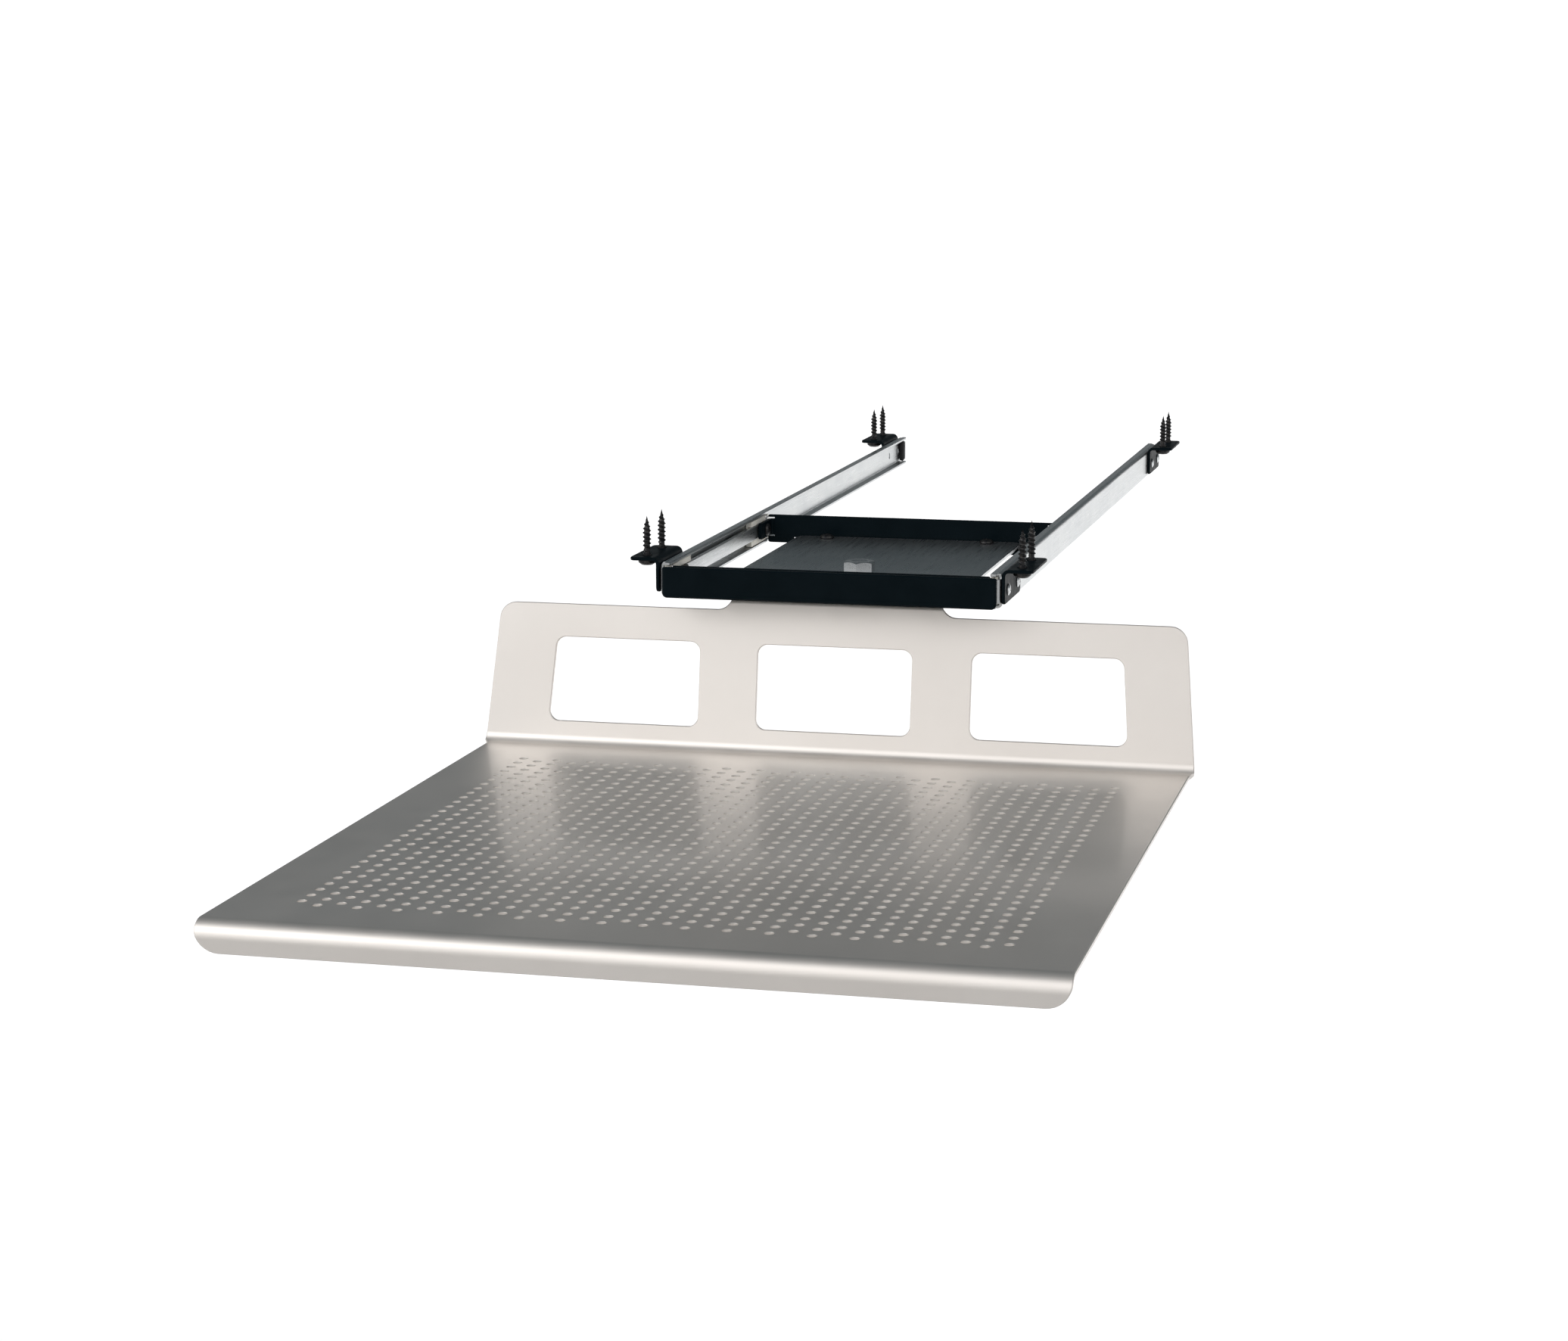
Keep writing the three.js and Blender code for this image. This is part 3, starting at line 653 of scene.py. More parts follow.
def hole_centres(at):
    """The staggered field: every second column, the outermost too, sits half a pitch further back."""
    centres = []
    for column in range(HOLE_COLUMNS):
        x = (column - (HOLE_COLUMNS - 1) / 2) * HOLE_COLUMN
        shift = 0.25 if column % 2 == 0 else -0.25
        for row in range(HOLES_IN_COLUMN):
            y = HOLE_FIELD_Y + (row - (HOLES_IN_COLUMN - 1) / 2 + shift) * HOLE_PITCH
            centres.append((x, at["shelf"](y)))
    return centres


def make_tray():
    path, at = tray_path()
    loops = [(tray_outline(at), EDGE_BREAK)]
    loops += [(loop, EDGE_BREAK) for loop in window_outlines(at)]
    loops.append((hole_loop((0, at["flange"](at["pivot_y"])), PIVOT_HOLE, 32), HOLE_BREAK))
    loops += [(hole_loop(centre, HOLE_RADIUS, HOLE_SIDES), HOLE_BREAK) for centre in hole_centres(at)]
    wide = TRAY_HALF_W * 1.2

    def place(x, along, depth):
        y, z = path.point(min(max(along, 0), path.length), depth)
        return x, y, z

    mesh = sheet_mesh("tray", loops, folds_across(path.rows(), -wide, wide), place, SHEET)
    stand_for("tray", mesh)


# ---------- tracks ----------
TRACK_BEND = 2 * MM
TRACK_T = 1.4 * MM
TRACK_STOP_IN = 0.4 * MM
STOP_RELIEF = 0.6 * MM
STOP_SLIT = 0.35 * MM
TRACK_CORNER = 0.8 * MM
RIVET_HOLE = 1.7 * MM
RIVET_HOLE_BREAK = 0.15 * MM


def make_track(side):
    """A channel open towards the carriage, its web folded in at both ends as stops."""
    node = "track_right" if side > 0 else "track_left"
    low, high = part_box("track_right")
    lip = high.x - low.x - TRACK_BEND
    length = high.y - low.y
    path = SheetPath((low.x, high.z), 0, [
        (lip, 0, 0),
        (0, -90, TRACK_BEND),
        (high.z - low.z - 2 * TRACK_BEND, 0, 0),
        (0, -90, TRACK_BEND),
        (lip, 0, 0),
    ])
    web_low = path.parts[2][0]
    web_high = path.parts[3][0]
    stop_path = SheetPath((-TRACK_BEND, high.x), 0, [
        (0, -90, TRACK_BEND),
        (lip - TRACK_STOP_IN, 0, 0),
    ])
    relief = TRACK_BEND + STOP_RELIEF
    over = stop_path.length - TRACK_BEND

    def place(u, v, depth):
        past = max(TRACK_BEND - u, u - length + TRACK_BEND)
        if past > 0 and web_low < v < web_high:
            back, x = stop_path.point(min(past, stop_path.length), depth)
            y = -back if u < length / 2 else length + back
        else:
            x, z = path.point(min(max(v, 0), path.length), depth)
            return side * x, low.y + u, z
        return side * x, low.y + y, high.z - TRACK_BEND - (v - web_low)

    half = [
        (length, 0, TRACK_CORNER),
        (length, lip - STOP_SLIT, 0),
        (length - relief, lip - STOP_SLIT, 0),
        (length - relief, web_low + STOP_SLIT, 0),
        (length + over, web_low + STOP_SLIT, TRACK_CORNER),
        (length + over, web_high - STOP_SLIT, TRACK_CORNER),
        (length - relief, web_high - STOP_SLIT, 0),
        (length - relief, path.length - lip + STOP_SLIT, 0),
        (length, path.length - lip + STOP_SLIT, 0),
        (length, path.length, TRACK_CORNER),
    ]
    other = [(length - u, path.length - v, r) for u, v, r in half]
    loops = [(round_corners(half + other, 4), FINE_EDGE_BREAK)]
    rivet_v = web_low + high.z - TRACK_BEND - RIVET_Z
    for y in rivet_places():
        loops.append((hole_loop((y - low.y, rivet_v), RIVET_HOLE, 16), RIVET_HOLE_BREAK))
    folds = folds_across(path.rows(15), relief - STOP_SLIT, length - relief + STOP_SLIT)
    for row in stop_path.rows(15):
        for u in (TRACK_BEND - row, length - TRACK_BEND + row):
            folds.append((0, u, web_low + STOP_SLIT * 0.3, web_high - STOP_SLIT * 0.3))
    stand_for(node, sheet_mesh(node, loops, folds, place, TRACK_T))


# ---------- brackets ----------
BRACKET_T = 1.5 * MM
BRACKET_BEND = 3 * MM
BRACKET_CORNER = 2.5 * MM
BRACKET_BREAK = 0.3 * MM
SCREW_INSET = 8 * MM
SCREW_X = 85.2 * MM
SCREW_HOLE = 2.2 * MM
RIVET_Z = -9.6 * MM


def rivet_places():
    """Y of every rivet, which is also Y of every wood screw."""
    found = []
    for end in ENDS:
        low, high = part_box(f"bracket_{end}_right")
        found += [low.y + SCREW_INSET, high.y - SCREW_INSET]
    return found


def fixings(kind):
    """Name, Y and sign of X of every rivet or wood screw."""
    for i, y in enumerate(rivet_places()):
        for side, sign in SIDES:
            yield f"{kind}_{ENDS[i // 2]}_{i % 2 + 1}_{side}", y, sign


def make_bracket(end, side):
    node = f"bracket_{end}_" + ("right" if side > 0 else "left")
    low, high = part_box(f"bracket_{end}_right")
    leg = high.z - low.z - BRACKET_BEND
    path = SheetPath((low.x, low.z), 90, [
        (leg, 0, 0),
        (0, -90, BRACKET_BEND),
        (high.x - low.x - BRACKET_BEND, 0, 0),
    ])
    length = high.y - low.y
    flange_at = path.parts[2][0]

    def place(u, v, depth):
        x, z = path.point(min(max(v, 0), path.length), depth)
        return side * x, low.y + u, z

    loops = [(rectangle((0, 0), (length, path.length), BRACKET_CORNER, 5), BRACKET_BREAK)]
    for u in (SCREW_INSET, length - SCREW_INSET):
        loops.append((hole_loop((u, flange_at + SCREW_X - low.x - BRACKET_BEND), SCREW_HOLE), HOLE_BREAK))
        loops.append((hole_loop((u, RIVET_Z - low.z), RIVET_HOLE, 16), RIVET_HOLE_BREAK))
    folds = folds_across(path.rows(11), -length, 2 * length)
    stand_for(node, sheet_mesh(node, loops, folds, place, BRACKET_T))


# ---------- carriage bars and plate ----------
BAR_T = 1.8 * MM
BAR_BEND = 2.6 * MM
BAR_FOOT = 19 * MM
BAR_FOOT_HALF_W = 58 * MM
TAB_TOP_Z = -5.6 * MM
TAB_BOTTOM_Z = -13.6 * MM
RELIEF = 0.8 * MM
RUNNER_SCREW_HOLE = 1.75 * MM
PLATE_SCREW_HOLE = 2.2 * MM
PLATE_CORNER = 5 * MM
PIVOT = tuple(middle_of("pivot_bolt"))[:2]
PLATE_SCREWS = [f"plate_screw_{end}_{side}" for end in ENDS for side in ("left", "right")]


def make_bar(end):
    """A pressed bar: its foot folds in along the bottom and a tab folds in at each end."""
    node = f"carriage_{end}_bar"
    low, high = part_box(node)
    half_w = high.x
    face, inward = (low.y, 1) if end == "front" else (high.y, -1)
    foot_path = SheetPath((BAR_FOOT, low.z), 180, [
        (BAR_FOOT - BAR_BEND, 0, 0),
        (0, -90, BAR_BEND),
    ])
    tab_path = SheetPath((0, 0), 0, [
        (half_w - BAR_BEND, 0, 0),
        (0, -90, BAR_BEND),
        (high.y - low.y - BAR_BEND, 0, 0),
    ])
    fold_at = foot_path.length
    tab_at = tab_path.parts[1][0]

    def up(z):
        return fold_at + z - low.z - BAR_BEND

    tab_low = up(TAB_BOTTOM_Z)
    tab_high = up(TAB_TOP_Z)

    def place(u, v, depth):
        z = low.z + BAR_BEND + v - fold_at
        if v < fold_at and abs(u) < BAR_FOOT_HALF_W + RELIEF / 2:
            y, z = foot_path.point(max(v, 0), depth)
            return u, face + inward * y, z
        if abs(u) > tab_at and tab_low - RELIEF / 2 < v < tab_high + RELIEF / 2:
            x, y = tab_path.point(min(abs(u), tab_path.length), depth)
            return math.copysign(x, u), face - inward * y, z
        return u, face + inward * depth, z

    top = up(high.z)
    slot_u = tab_at - RELIEF
    foot_end = BAR_FOOT_HALF_W
    right = [
        (foot_end, 0, 2 * MM),
        (foot_end, fold_at + 0.2 * MM, 0),
        (foot_end + RELIEF, fold_at + 0.2 * MM, 0),
        (foot_end + RELIEF, up(low.z), 0),
        (half_w, up(low.z), 1.2 * MM),
        (half_w, tab_low - RELIEF, 0),
        (slot_u, tab_low - RELIEF, 0),
        (slot_u, tab_low, 0),
        (tab_path.length, tab_low, 2 * MM),
        (tab_path.length, tab_high, 2 * MM),
        (slot_u, tab_high, 0),
        (slot_u, tab_high + RELIEF, 0),
        (half_w, tab_high + RELIEF, 0),
        (half_w, top, 0.8 * MM),
    ]
    loops = [(round_corners(right + mirrored(right), 5), FINE_EDGE_BREAK)]
    for x in (-1, 1):
        screw = middle_of(f"plate_screw_{end}_right")
        centre = (x * screw.x, BAR_FOOT - abs(screw.y - face))
        loops.append((hole_loop(centre, PLATE_SCREW_HOLE), HOLE_BREAK))
        screw = middle_of(f"runner_screw_{end}_right")
        along = tab_path.length - (high.y - low.y) + abs(screw.y - face)
        loops.append((hole_loop((x * along, up(screw.z)), RUNNER_SCREW_HOLE, 20), HOLE_BREAK))
    reach = foot_end + RELIEF / 2
    folds = folds_across(foot_path.rows(11), -reach, reach)
    for row in tab_path.rows(11):
        folds += [(0, x * row, tab_low - RELIEF / 2, tab_high + RELIEF / 2) for x in (-1, 1)]
    stand_for(node, sheet_mesh(node, loops, folds, place, BAR_T))


def make_swivel_plate():
    low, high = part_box("swivel_plate")
    loops = [(rectangle(low, high, PLATE_CORNER, 8), EDGE_BREAK)]
    loops.append((hole_loop(PIVOT, PIVOT_HOLE, 32), HOLE_BREAK))
    for name in PLATE_SCREWS:
        centre = middle_of(name)
        loops.append((hole_loop((centre.x, centre.y), PLATE_SCREW_HOLE), HOLE_BREAK))

    def place(x, y, depth):
        return x, y, high.z - depth

    stand_for("swivel_plate", sheet_mesh("swivel_plate", loops, [], place, high.z - low.z))


BAR_ROUND = 2.2 * MM
BAR_EDGE = 0.7 * MM


def make_cross_bar():
    """The black bar across the front: soft edges, rounded lower corners, a line pressed along it."""
    low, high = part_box("front_cross_bar")
    outline = rectangle((low.x, low.z), (high.x, high.z), BAR_ROUND, 6, MM)
    line = low.z + 2 * MM
    width = 0.5 * MM
    press = 0.25 * MM

    def place(x, z, depth):
        groove = press * max(0.0, 1 - abs(z - line) / width) if depth == 0 else 0
        return x, low.y + depth + groove, z

    rows = [line - width, line, line + width]
    mesh = sheet_mesh("cross_bar", [(outline, BAR_EDGE)], folds_across(rows, -1, 1), place, high.y - low.y)
    stand_for("front_cross_bar", mesh)


# ---------- turned parts ----------
def skin(rings, closed=False):
    """Faces between each ring of points and the next; a ring may be one point repeated."""
    pairs = list(zip(rings, rings[1:]))
    if closed:
        pairs.append((rings[-1], rings[0]))
    faces = []
    for a, b in pairs:
        for k in range(len(a)):
            n = (k + 1) % len(a)
            face = list(dict.fromkeys((a[k], a[n], b[n], b[k])))
            if len(face) > 2:
                faces.append(face)
    return faces


def rings_of(profile, sides):
    """Points in rings round Z from (radius, height) pairs; a ring on the axis is one point."""
    verts = []
    rings = []
    for radius, height in profile:
        first = len(verts)
        if radius < TINY:
            rings.append([first] * sides)
            verts.append((0, 0, height))
        else:
            rings.append(range(first, first + sides))
            verts += [(x, y, height) for x, y in circle((0, 0), radius, sides)]
    return verts, rings


def turned(name, profile, sides, closed=False):
    """A body turned about Z from (radius, height) pairs: from axis to axis, or a closed ring section."""
    verts, rings = rings_of(profile, sides)
    return mesh_from(name, verts, skin(rings, closed))


AT_PIVOT = Matrix.Translation((*PIVOT, 0))
DISC_SIDES = 96


def disc_section(inner, outer, low, high, edge):
    """The section of a flat ring with its edges broken."""
    return [
        (inner, low + edge), (inner + edge, low), (outer - edge, low), (outer, low + edge),
        (outer, high - edge), (outer - edge, high), (inner + edge, high), (inner, high - edge),
    ]


def on_pivot(node, mesh, smooth_angle):
    stand_for(node, moved(mesh, AT_PIVOT, node), smooth_angle)


def make_disc(node, edge):
    low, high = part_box(node)
    section = disc_section(PIVOT_HOLE, (high.x - low.x) / 2, low.z, high.z, edge)
    on_pivot(node, turned(node, section, DISC_SIDES, closed=True), 50)


def make_spring_washer():
    """A coned washer: its rim is lower than its bore."""
    low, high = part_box("spring_washer")
    outer = (high.x - low.x) / 2
    thick = (high.z - low.z) * 0.62
    cone = (high.z - low.z) - thick
    edge = 0.12 * MM
    section = []
    for radius, height in disc_section(PIVOT_HOLE, outer, low.z, low.z + thick, edge):
        section.append((radius, height + cone * (outer - radius) / (outer - PIVOT_HOLE)))
    on_pivot("spring_washer", turned("spring_washer", section, 48, closed=True), 40)


# a thread's ridge, in pitches: half its width at the root and at the crest
RIDGE_HALF = 0.3
CREST_HALF = 0.05
# the root lies a little inside the core, so that the two shells overlap
RIDGE_SINK = 0.97
RIDGE_FADE = 1.5
POINT_FADE = 1.6


def helix_ridge(root, crest, pitch, low, high, point, sides=24):
    """A thread's ridge round Z from low to high: it fades out at both ends and follows the point on top."""
    verts = []
    faces = []
    turns = (high - low) / pitch - 2 * RIDGE_HALF
    steps = round(turns * sides)
    for n in range(steps + 1):
        share = n / steps
        angle = 2 * math.pi * n / sides
        z = low + pitch * RIDGE_HALF + (high - low - pitch * 2 * RIDGE_HALF) * share
        fade = min(1.0, share * turns * RIDGE_FADE, (1 - share) * turns * RIDGE_FADE)
        slim = min(1.0, (high - z) / point)
        base = root * slim * RIDGE_SINK
        tip = base + (crest - root * RIDGE_SINK) * fade * min(1.0, slim * POINT_FADE)
        section = ((base, -RIDGE_HALF), (tip, -CREST_HALF), (tip, CREST_HALF), (base, RIDGE_HALF))
        for radius, lift in section:
            verts.append((radius * math.cos(angle), radius * math.sin(angle), z + pitch * lift))
    for n in range(steps):
        for k in range(4):
            a = 4 * n + k
            b = 4 * n + (k + 1) % 4
            faces.append((a, b, b + 4, a + 4))
    faces.append((0, 1, 2, 3))
    faces.append(tuple(4 * steps + k for k in (3, 2, 1, 0)))
    return verts, faces


def fill_between(outer, inner):
    """Triangles between two closed loops, as indices into outer + inner."""
    points = [Vector(p) for p in outer + inner]
    count = len(outer)
    edges = [(k, (k + 1) % count) for k in range(count)]
    edges += [(count + k, count + (k + 1) % len(inner)) for k in range(len(inner))]
    _, _, faces, origins, *_ = delaunay_2d_cdt(points, edges, [], 0, TINY, True)
    kept = []
    for face in faces:
        ids = [origins[k][0] for k in face]
        middle = sum((points[k] for k in ids), Vector((0, 0))) / len(ids)
        if inside(middle, outer) and not inside(middle, inner):
            kept.append(ids)
    return kept


def screw_mesh(head, recess, recess_depth, recess_taper, shank, sides=32):
    """A screw with its head up and its seat at 0.

    head: (radius, height) pairs from the seat's outer edge in to just outside the recess.
    recess: a closed loop. shank: (radius, height) pairs down from the seat to the axis.
    """
    verts, rings = rings_of(shank[::-1] + head, sides)
    faces = skin(rings)
    top = head[-1][1]
    rim = circle((0, 0), head[-1][0], sides)
    mouth = list(range(len(verts), len(verts) + len(recess)))
    verts += [(x, y, top) for x, y in recess]
    for face in fill_between(rim, recess):
        faces.append([rings[-1][k] if k < sides else mouth[k - sides] for k in face])
    floor = list(range(len(verts), len(verts) + len(recess)))
    verts += [(x * recess_taper, y * recess_taper, top - recess_depth) for x, y in recess]
    verts.append((0, 0, top - recess_depth * 1.15))
    faces += skin([mouth, floor, [len(verts) - 1] * len(floor)])
    return verts, faces


def joined(*shells):
    verts = []
    faces = []
    for more_verts, more_faces in shells:
        base = len(verts)
        verts += more_verts
        faces += [[base + k for k in face] for face in more_faces]
    return verts, faces


def cross_recess(reach, width):
    """The outline of a cross recess."""
    corners = []
    for k in range(4):
        turn = Matrix.Rotation(math.pi / 2 * k, 2)
        for x, y, radius in ((reach, -width, 0.5), (reach, width, 0.5), (width, width, 0.4)):
            spot = turn @ Vector((x, y))
            corners.append((spot.x, spot.y, radius * width))
    return round_corners(corners, 2)


def hexagon(across):
    return circle((0, 0), across / math.sqrt(3), 6)


DOME_POWER = 2.4
SCREW_ANGLE = 32


def dome(radius, low, high, rings, inner):
    """(radius, height) pairs over a dome, from its edge in to the inner radius."""
    pairs = []
    for k in range(rings + 1):
        r = radius + (inner - radius) * k / rings
        pairs.append((r, low + (high - low) * (1 - (r / radius) ** DOME_POWER)))
    return pairs


def random_spin():
    return Matrix.Rotation(RNG.uniform(0, math.pi), 4, "Z")


def make_wood_screws():
    """Pan heads with a cross recess under the brackets; the points stand where the desk would be."""
    low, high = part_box("wood_screw_front_1_right")
    head_r = (high.x - low.x) / 2
    seat = -BRACKET_T - 0.2 * MM
    head_h = seat - low.z
    length = high.z - seat
    core = 1.3 * MM
    crest = 1.9 * MM
    neck = 2.6 * MM
    head = [(head_r - 0.15 * MM, 0), (head_r, 0.15 * MM), (head_r, head_h * 0.42)]
    head += dome(head_r * 0.985, head_h * 0.46, head_h, 5, head_r * 0.62)
    point = 6 * MM
    shank = [
        (crest * 0.92, 0),
        (crest * 0.92, -neck),
        (core, -neck - 0.5 * MM),
        (core, point - length),
        (0, -length),
    ]
    body = screw_mesh(head, cross_recess(2.1 * MM, 0.42 * MM), 1.7 * MM, 0.55, shank)
    start = neck + 0.3 * MM
    ridge_verts, ridge_faces = helix_ridge(core, crest, 1.9 * MM, start, length - 0.6 * MM, point)
    ridge = ([(x, y, -z) for x, y, z in ridge_verts], ridge_faces)
    mesh = mesh_from("wood_screw", *joined(body, ridge))
    flip = Matrix.Rotation(math.pi, 4, "X")
    for node, y, sign in fixings("wood_screw"):
        place = Matrix.Translation((sign * SCREW_X, y, seat)) @ flip @ random_spin()
        stand_for(node, moved(mesh, place, node), SCREW_ANGLE)


def make_plate_screws():
    """Button heads with a hexagon socket, standing on the swivel plate."""
    low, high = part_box(PLATE_SCREWS[0])
    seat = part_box("swivel_plate")[1].z + 0.2 * MM
    head_r = (high.x - low.x) / 2
    head_h = high.z - seat
    head = [(head_r - 0.15 * MM, 0), (head_r, 0.15 * MM), (head_r, head_h * 0.3)]
    head += dome(head_r * 0.97, head_h * 0.45, head_h, 4, head_r * 0.5)
    core = 1.98 * MM
    drop = seat - low.z
    shank = [(core, 0), (core, 0.3 * MM - drop), (core - 0.3 * MM, -drop), (0, -drop)]
    mesh = mesh_from("plate_screw", *screw_mesh(head, hexagon(2.5 * MM), 1.3 * MM, 1.0, shank))
    for node in PLATE_SCREWS:
        centre = middle_of(node)
        place = Matrix.Translation((centre.x, centre.y, seat)) @ random_spin()
        stand_for(node, moved(mesh, place, node), SCREW_ANGLE)


def make_runner_screws():
    """Small button heads inside the tabs, screwed out into the runners."""
    low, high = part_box("runner_screw_front_right")
    tab_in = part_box("carriage_front_bar")[1].x - BAR_T
    seat = tab_in - 0.1 * MM
    head_r = (high.z - low.z) / 2
    head_h = seat - low.x
    drop = high.x - seat
    head = [(head_r - 0.12 * MM, 0), (head_r, 0.12 * MM), (head_r, head_h * 0.4)]
    head += dome(head_r * 0.97, head_h * 0.5, head_h, 4, head_r * 0.5)
    core = 1.58 * MM
    shank = [(core, 0), (core, 0.25 * MM - drop), (core - 0.25 * MM, -drop), (0, -drop)]
    mesh = mesh_from("runner_screw", *screw_mesh(head, hexagon(2 * MM), 1.0 * MM, 1.0, shank, 24))
    for end in ENDS:
        for side, sign in SIDES:
            node = f"runner_screw_{end}_{side}"
            centre = middle_of(node)
            tip = Matrix.Rotation(-sign * math.pi / 2, 4, "Y")
            place = Matrix.Translation((sign * seat, centre.y, centre.z)) @ tip
            stand_for(node, moved(mesh, place, node), SCREW_ANGLE)


def make_rivets():
    """Blind rivets: a low dome with the broken stem in its middle."""
    low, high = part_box("rivet_front_1_right")
    head_r = (high.z - low.z) / 2
    leg_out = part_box("bracket_front_right")[0].x + BRACKET_T
    seat = leg_out + 0.2 * MM
    head_h = high.x - seat
    drop = seat - low.x
    pin = 1.5 * MM
    profile = [(0, -drop), (pin - 0.2 * MM, -drop), (pin, 0.2 * MM - drop), (pin, 0)]
    profile.append((head_r - 0.1 * MM, 0))
    profile += dome(head_r, 0.12 * MM, head_h, 5, 0.95 * MM)
    profile += [(0.85 * MM, head_h * 0.55), (0.75 * MM, head_h * 0.5)]
    profile += [(0.7 * MM, head_h * 0.72), (0, head_h * 0.78)]
    mesh = turned("rivet", profile, 24)
    for node, y, sign in fixings("rivet"):
        tip = Matrix.Rotation(sign * math.pi / 2, 4, "Y")
        place = Matrix.Translation((sign * seat, y, RIVET_Z)) @ tip
        stand_for(node, moved(mesh, place, node), 40)


# ---------- the pivot's bolt and nut ----------
HEX_AF = 13 * MM
HEX_SIDES = 72
BOLT_R = 4 * MM


def level_ring(radius, level):
    return [(x, y, level) for x, y in circle((0, 0), radius, HEX_SIDES)]


def hex_rows(low, high, chamfer_low, inner_low, inner_high):
    """Rings of a hexagonal prism whose corners are turned away at 30 degrees, at the top or at both ends."""
    face_r = HEX_AF / 2 * 0.96
    slope = math.tan(math.radians(30))

    def hex_ring(level, chamfer, direction):
        ring = []
        for k in range(HEX_SIDES):
            angle = 2 * math.pi * k / HEX_SIDES
            off = (angle + math.pi / 6) % (math.pi / 3) - math.pi / 6
            radius = HEX_AF / 2 / math.cos(off)
            drop = (radius - face_r) * slope if chamfer else 0
            ring.append((radius * math.cos(angle), radius * math.sin(angle), level - direction * drop))
        return ring

    rows = [level_ring(inner_low, low)]
    if chamfer_low:
        rows.append(level_ring(face_r, low))
    rows.append(hex_ring(low, chamfer_low, -1))
    rows.append(hex_ring(high, True, 1))
    rows.append(level_ring(face_r, high))
    rows.append(level_ring(inner_high, high))
    return rows


def skin_rows(rows, closed):
    """Rings of points with the faces between them; the two end rings are filled unless it is closed."""
    verts = [point for row in rows for point in row]
    rings = [range(first, first + HEX_SIDES) for first in range(0, len(verts), HEX_SIDES)]
    faces = skin(rings, closed)
    if not closed:
        faces += [tuple(rings[0]), tuple(rings[-1])]
    return verts, faces


def make_pivot_bolt():
    low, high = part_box("pivot_bolt")
    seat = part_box("swivel_plate")[1].z + 0.3 * MM
    flange = 0.35 * MM
    shank_r = BOLT_R - 0.05 * MM
    rows = [level_ring(radius, level) for radius, level in (
        (BOLT_R - 0.6 * MM, low.z), (shank_r, low.z + 0.6 * MM), (shank_r, seat),
        (HEX_AF * 0.46, seat), (HEX_AF * 0.46, seat + flange),
    )]
    rows += hex_rows(seat + flange, high.z, False, HEX_AF * 0.47, HEX_AF * 0.3)
    rows.append(level_ring(HEX_AF * 0.27, high.z - 0.25 * MM))
    on_pivot("pivot_bolt", mesh_from("pivot_bolt", *skin_rows(rows, closed=False)), 28)


def make_lock_nut():
    """A self-locking nut: chamfered hexagon, round collar, and a nylon ring clinched inside it."""
    low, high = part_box("lock_nut")
    hex_low = high.z - 6 * MM
    collar = 5.6 * MM
    bore = BOLT_R + 0.15 * MM
    ring_top = low.z + 1.9 * MM
    lip = bore + 0.75 * MM
    rows = [level_ring(radius, level) for radius, level in (
        (bore + 0.1 * MM, ring_top), (lip, ring_top), (lip, low.z + 0.1 * MM), (lip + 0.25 * MM, low.z),
        (collar - 0.6 * MM, low.z), (collar - 0.15 * MM, low.z + 0.35 * MM), (collar, low.z + 0.9 * MM),
    )]
    rows += hex_rows(hex_low, high.z, True, collar, bore + 0.5 * MM)
    rows.append(level_ring(bore, high.z - 0.5 * MM))
    on_pivot("lock_nut", mesh_from("lock_nut", *skin_rows(rows, closed=True)), 28)
    section = disc_section(bore, lip - 0.05 * MM, low.z + 0.35 * MM, ring_top - 0.05 * MM, 0.15 * MM)
    insert = turned("lock_nut_insert", section, 48, closed=True)
    insert = moved(insert, AT_PIVOT, "lock_nut_insert")
    add_piece("lock_nut_insert", insert, BODY_OF["lock_nut"], "nylon", 40)


# ---------- pieces whose CAD solid is right, with worked edges ----------
def make_worked(node, width, segments=2):
    """The node's solid with its flat faces merged and its sharp edges rounded."""
    mesh = frame["nodes"][node].data.copy()
    mesh.name = node + "_worked"
    work = bmesh.new()
    work.from_mesh(mesh)
    bmesh.ops.remove_doubles(work, verts=work.verts, dist=1e-6)
    bmesh.ops.dissolve_limit(work, angle_limit=math.radians(1), verts=work.verts, edges=work.edges)
    sharp = [e for e in work.edges if e.is_manifold and e.calc_face_angle(0) > math.radians(40)]
    bmesh.ops.bevel(
        work, geom=sharp, offset=width, offset_type="OFFSET", segments=segments, profile=0.5,
        affect="EDGES", clamp_overlap=True,
    )
    work.to_mesh(mesh)
    work.free()
    stand_for(node, mesh, 40)


BALL_RINGS = 14


def make_ball(node):
    low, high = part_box(node)
    radius = (high.z - low.z) / 2
    mesh = turned(node, arc((0, 0), radius, -90, 90, BALL_RINGS), 24)
    stand_for(node, moved(mesh, Matrix.Translation(middle_of(node)), node), 60)


make_tray()
for side in (1, -1):
    make_track(side)
    for end in ENDS:
        make_bracket(end, side)
for end in ENDS:
    make_bar(end)
make_swivel_plate()
make_cross_bar()
make_wood_screws()
make_plate_screws()
make_runner_screws()
make_rivets()
make_pivot_bolt()
make_lock_nut()
make_disc("upper_glide_disc", 0.3 * MM)
make_disc("lower_glide_disc", 0.3 * MM)
make_disc("pressure_plate", 0.5 * MM)
make_spring_washer()
for node in frame["nodes"]:
    if node.startswith("ball_carrier"):
        make_worked(node, 0.25 * MM)
    elif node.startswith("ball_"):
        make_ball(node)
    elif node.startswith("runner_") and "screw" not in node:
        make_worked(node, 0.3 * MM)
    elif node.startswith("rear_bumper"):
        make_worked(node, 1.1 * MM, 4)


# ---------- stage and light ----------
WORLD_LEFT = (1.17, 1.165, 1.16)
WORLD_RIGHT = (0.81, 0.805, 0.81)
WORLD_HIGH = (1.3, 1.29, 1.3)
WORLD_DARK = (0.082, 0.097, 0.104)
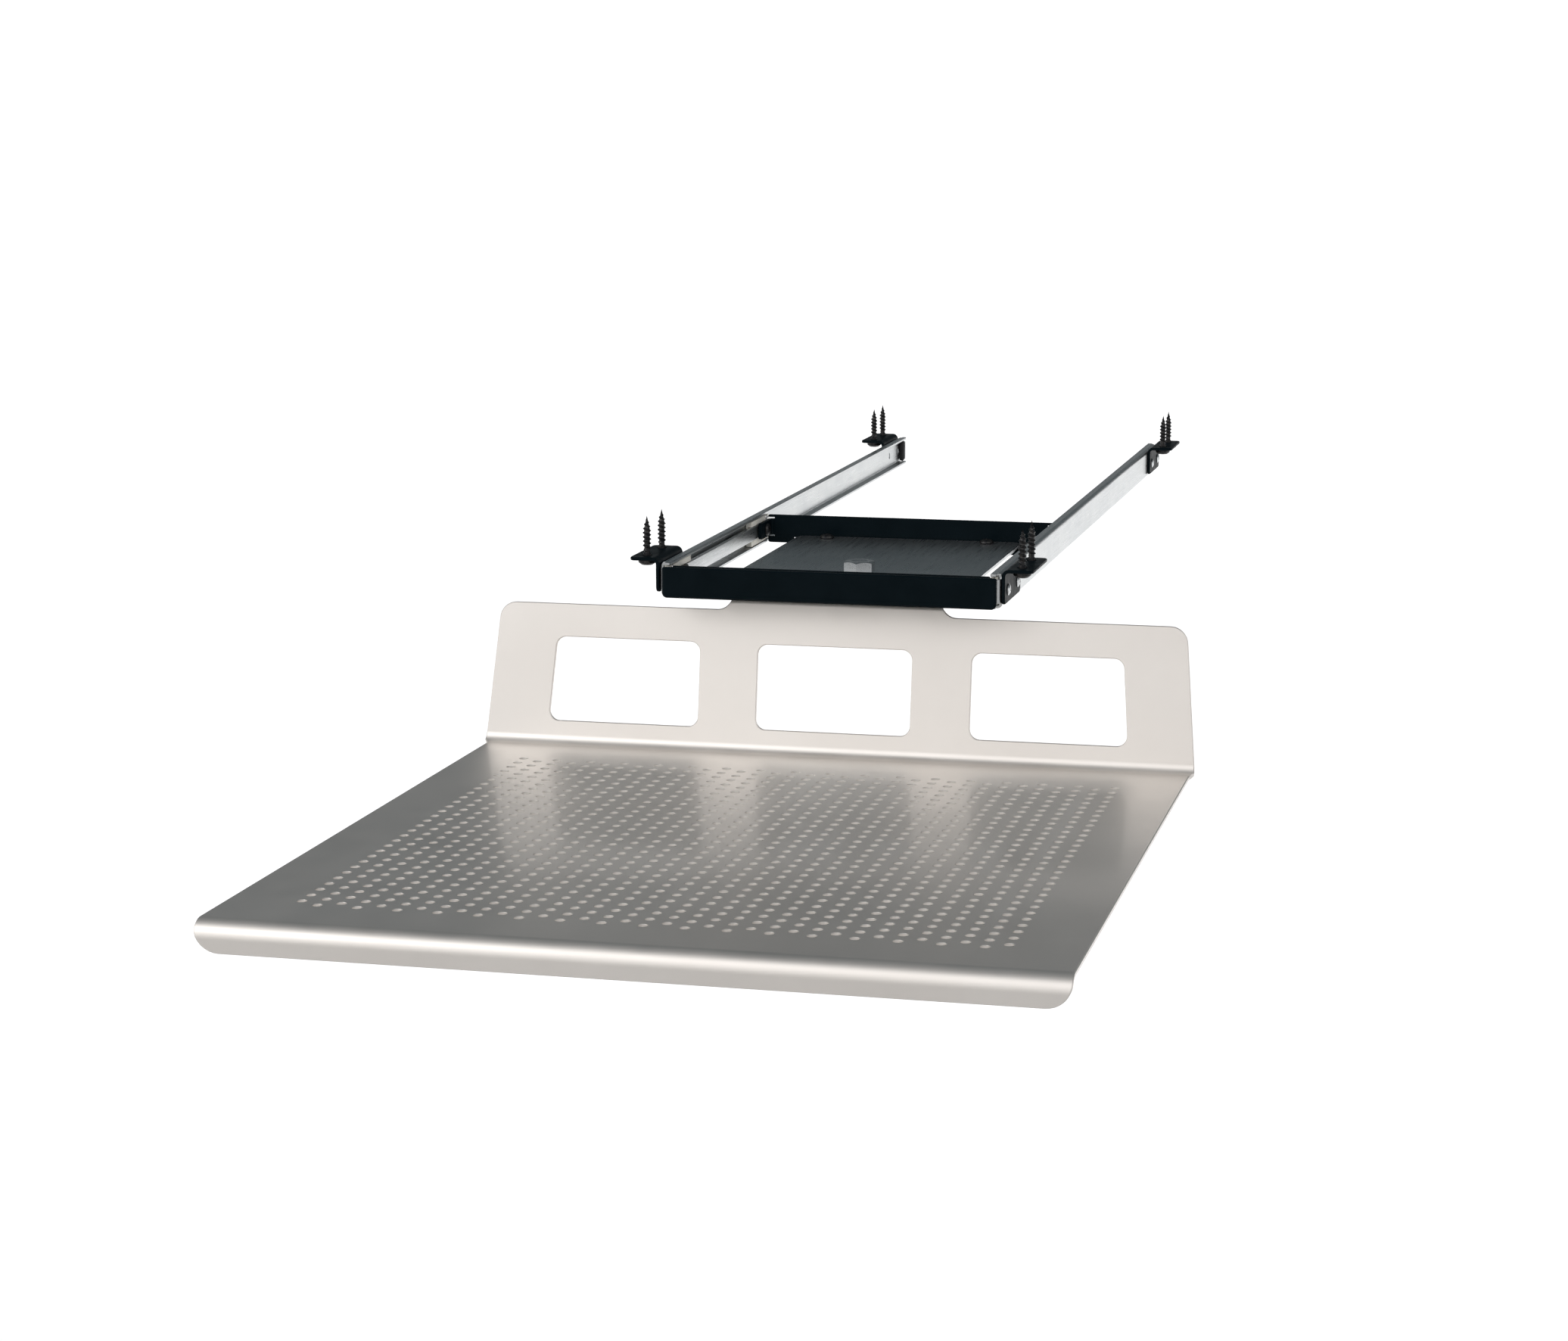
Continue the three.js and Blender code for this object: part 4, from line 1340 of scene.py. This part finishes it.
# where each shade of the world fades into the next, along one axis of the view direction
LEFT_TO_RIGHT = (-0.45, 0.0)
SIDE_TO_BACK = (-0.15, 0.25)
LEVEL_TO_RAISED = (0.025, 0.12)
LOW_TO_HIGH = (0.15, 0.65)
HIGH_TO_OVERHEAD = (0.74, 0.97)
FLOOR_Z = -0.72
FLOOR_HALF = 40.0
FLOOR_GLOW = 0.7
GLOW_Y = (0.2, 0.9)
KEY_AT = Vector((-1.3, -1.4, 1.1))
KEY_AIM = Vector((0, -0.2, -0.08))
KEY_SIZE = (1.0, 0.8)
KEY_POWER = 8


def make_stage():
    """A plain pale floor, far below, that glows behind the object so that it fades into the white."""
    mesh = bpy.data.meshes.new("floor")
    corners = [(x * FLOOR_HALF, y * FLOOR_HALF, FLOOR_Z) for x, y in ((-1, -1), (1, -1), (1, 1), (-1, 1))]
    mesh.from_pydata(corners, [], [(0, 1, 2, 3)])
    floor = bpy.data.objects.new("floor", mesh)
    bpy.context.collection.objects.link(floor)
    look = Look("pale_floor", (0.88, 0.87, 0.86), 0.0, 0.9, specular=0.1)
    _, depth, _ = look.axes()
    look.set("Emission Color", (1, 1, 1, 1))
    look.feed("Emission Strength", look.spread(depth, *GLOW_Y, 0, FLOOR_GLOW))
    mesh.materials.append(look.material)


def make_key_light():
    """A soft light from the upper left."""
    data = bpy.data.lights.new("key", "AREA")
    data.shape = "RECTANGLE"
    data.size, data.size_y = KEY_SIZE
    data.energy = KEY_POWER
    light = bpy.data.objects.new("key", data)
    bpy.context.collection.objects.link(light)
    light.location = KEY_AT
    light.rotation_mode = "QUATERNION"
    light.rotation_quaternion = (KEY_AIM - KEY_AT).to_track_quat("-Z", "Y")


def make_world():
    """A white studio, dark overhead and behind the object, so that the shelf has something to mirror."""
    world = bpy.data.worlds.new("studio")
    bpy.context.scene.world = world
    world.use_nodes = True
    web = Weave(world.node_tree, "Generated")

    def ramp(value, low, high, out_low=0, out_high=1):
        return web.spread(value, low, high, out_low, out_high, "SMOOTHSTEP")

    # in front: brighter on the left, brightest half way up; dark overhead, and behind from just above level
    across, depth, height = web.axes()
    behind = ramp(depth, *SIDE_TO_BACK)
    to_the_right = web.times(ramp(across, *LEFT_TO_RIGHT), ramp(depth, *SIDE_TO_BACK, 1, 0))
    low = web.blend(to_the_right, WORLD_LEFT, WORLD_RIGHT)
    front = web.blend(ramp(height, *LOW_TO_HIGH), low, WORLD_HIGH)
    raised = ramp(height, *LEVEL_TO_RAISED)
    overhead = ramp(height, *HIGH_TO_OVERHEAD)
    sky = web.blend(web.times(behind, raised), web.blend(overhead, front, WORLD_DARK), WORLD_DARK)
    web.links.new(sky, web.nodes["Background"].inputs["Color"])


bpy.context.scene.view_settings.view_transform = "Standard"
make_camera()
make_stage()
make_world()
make_key_light()
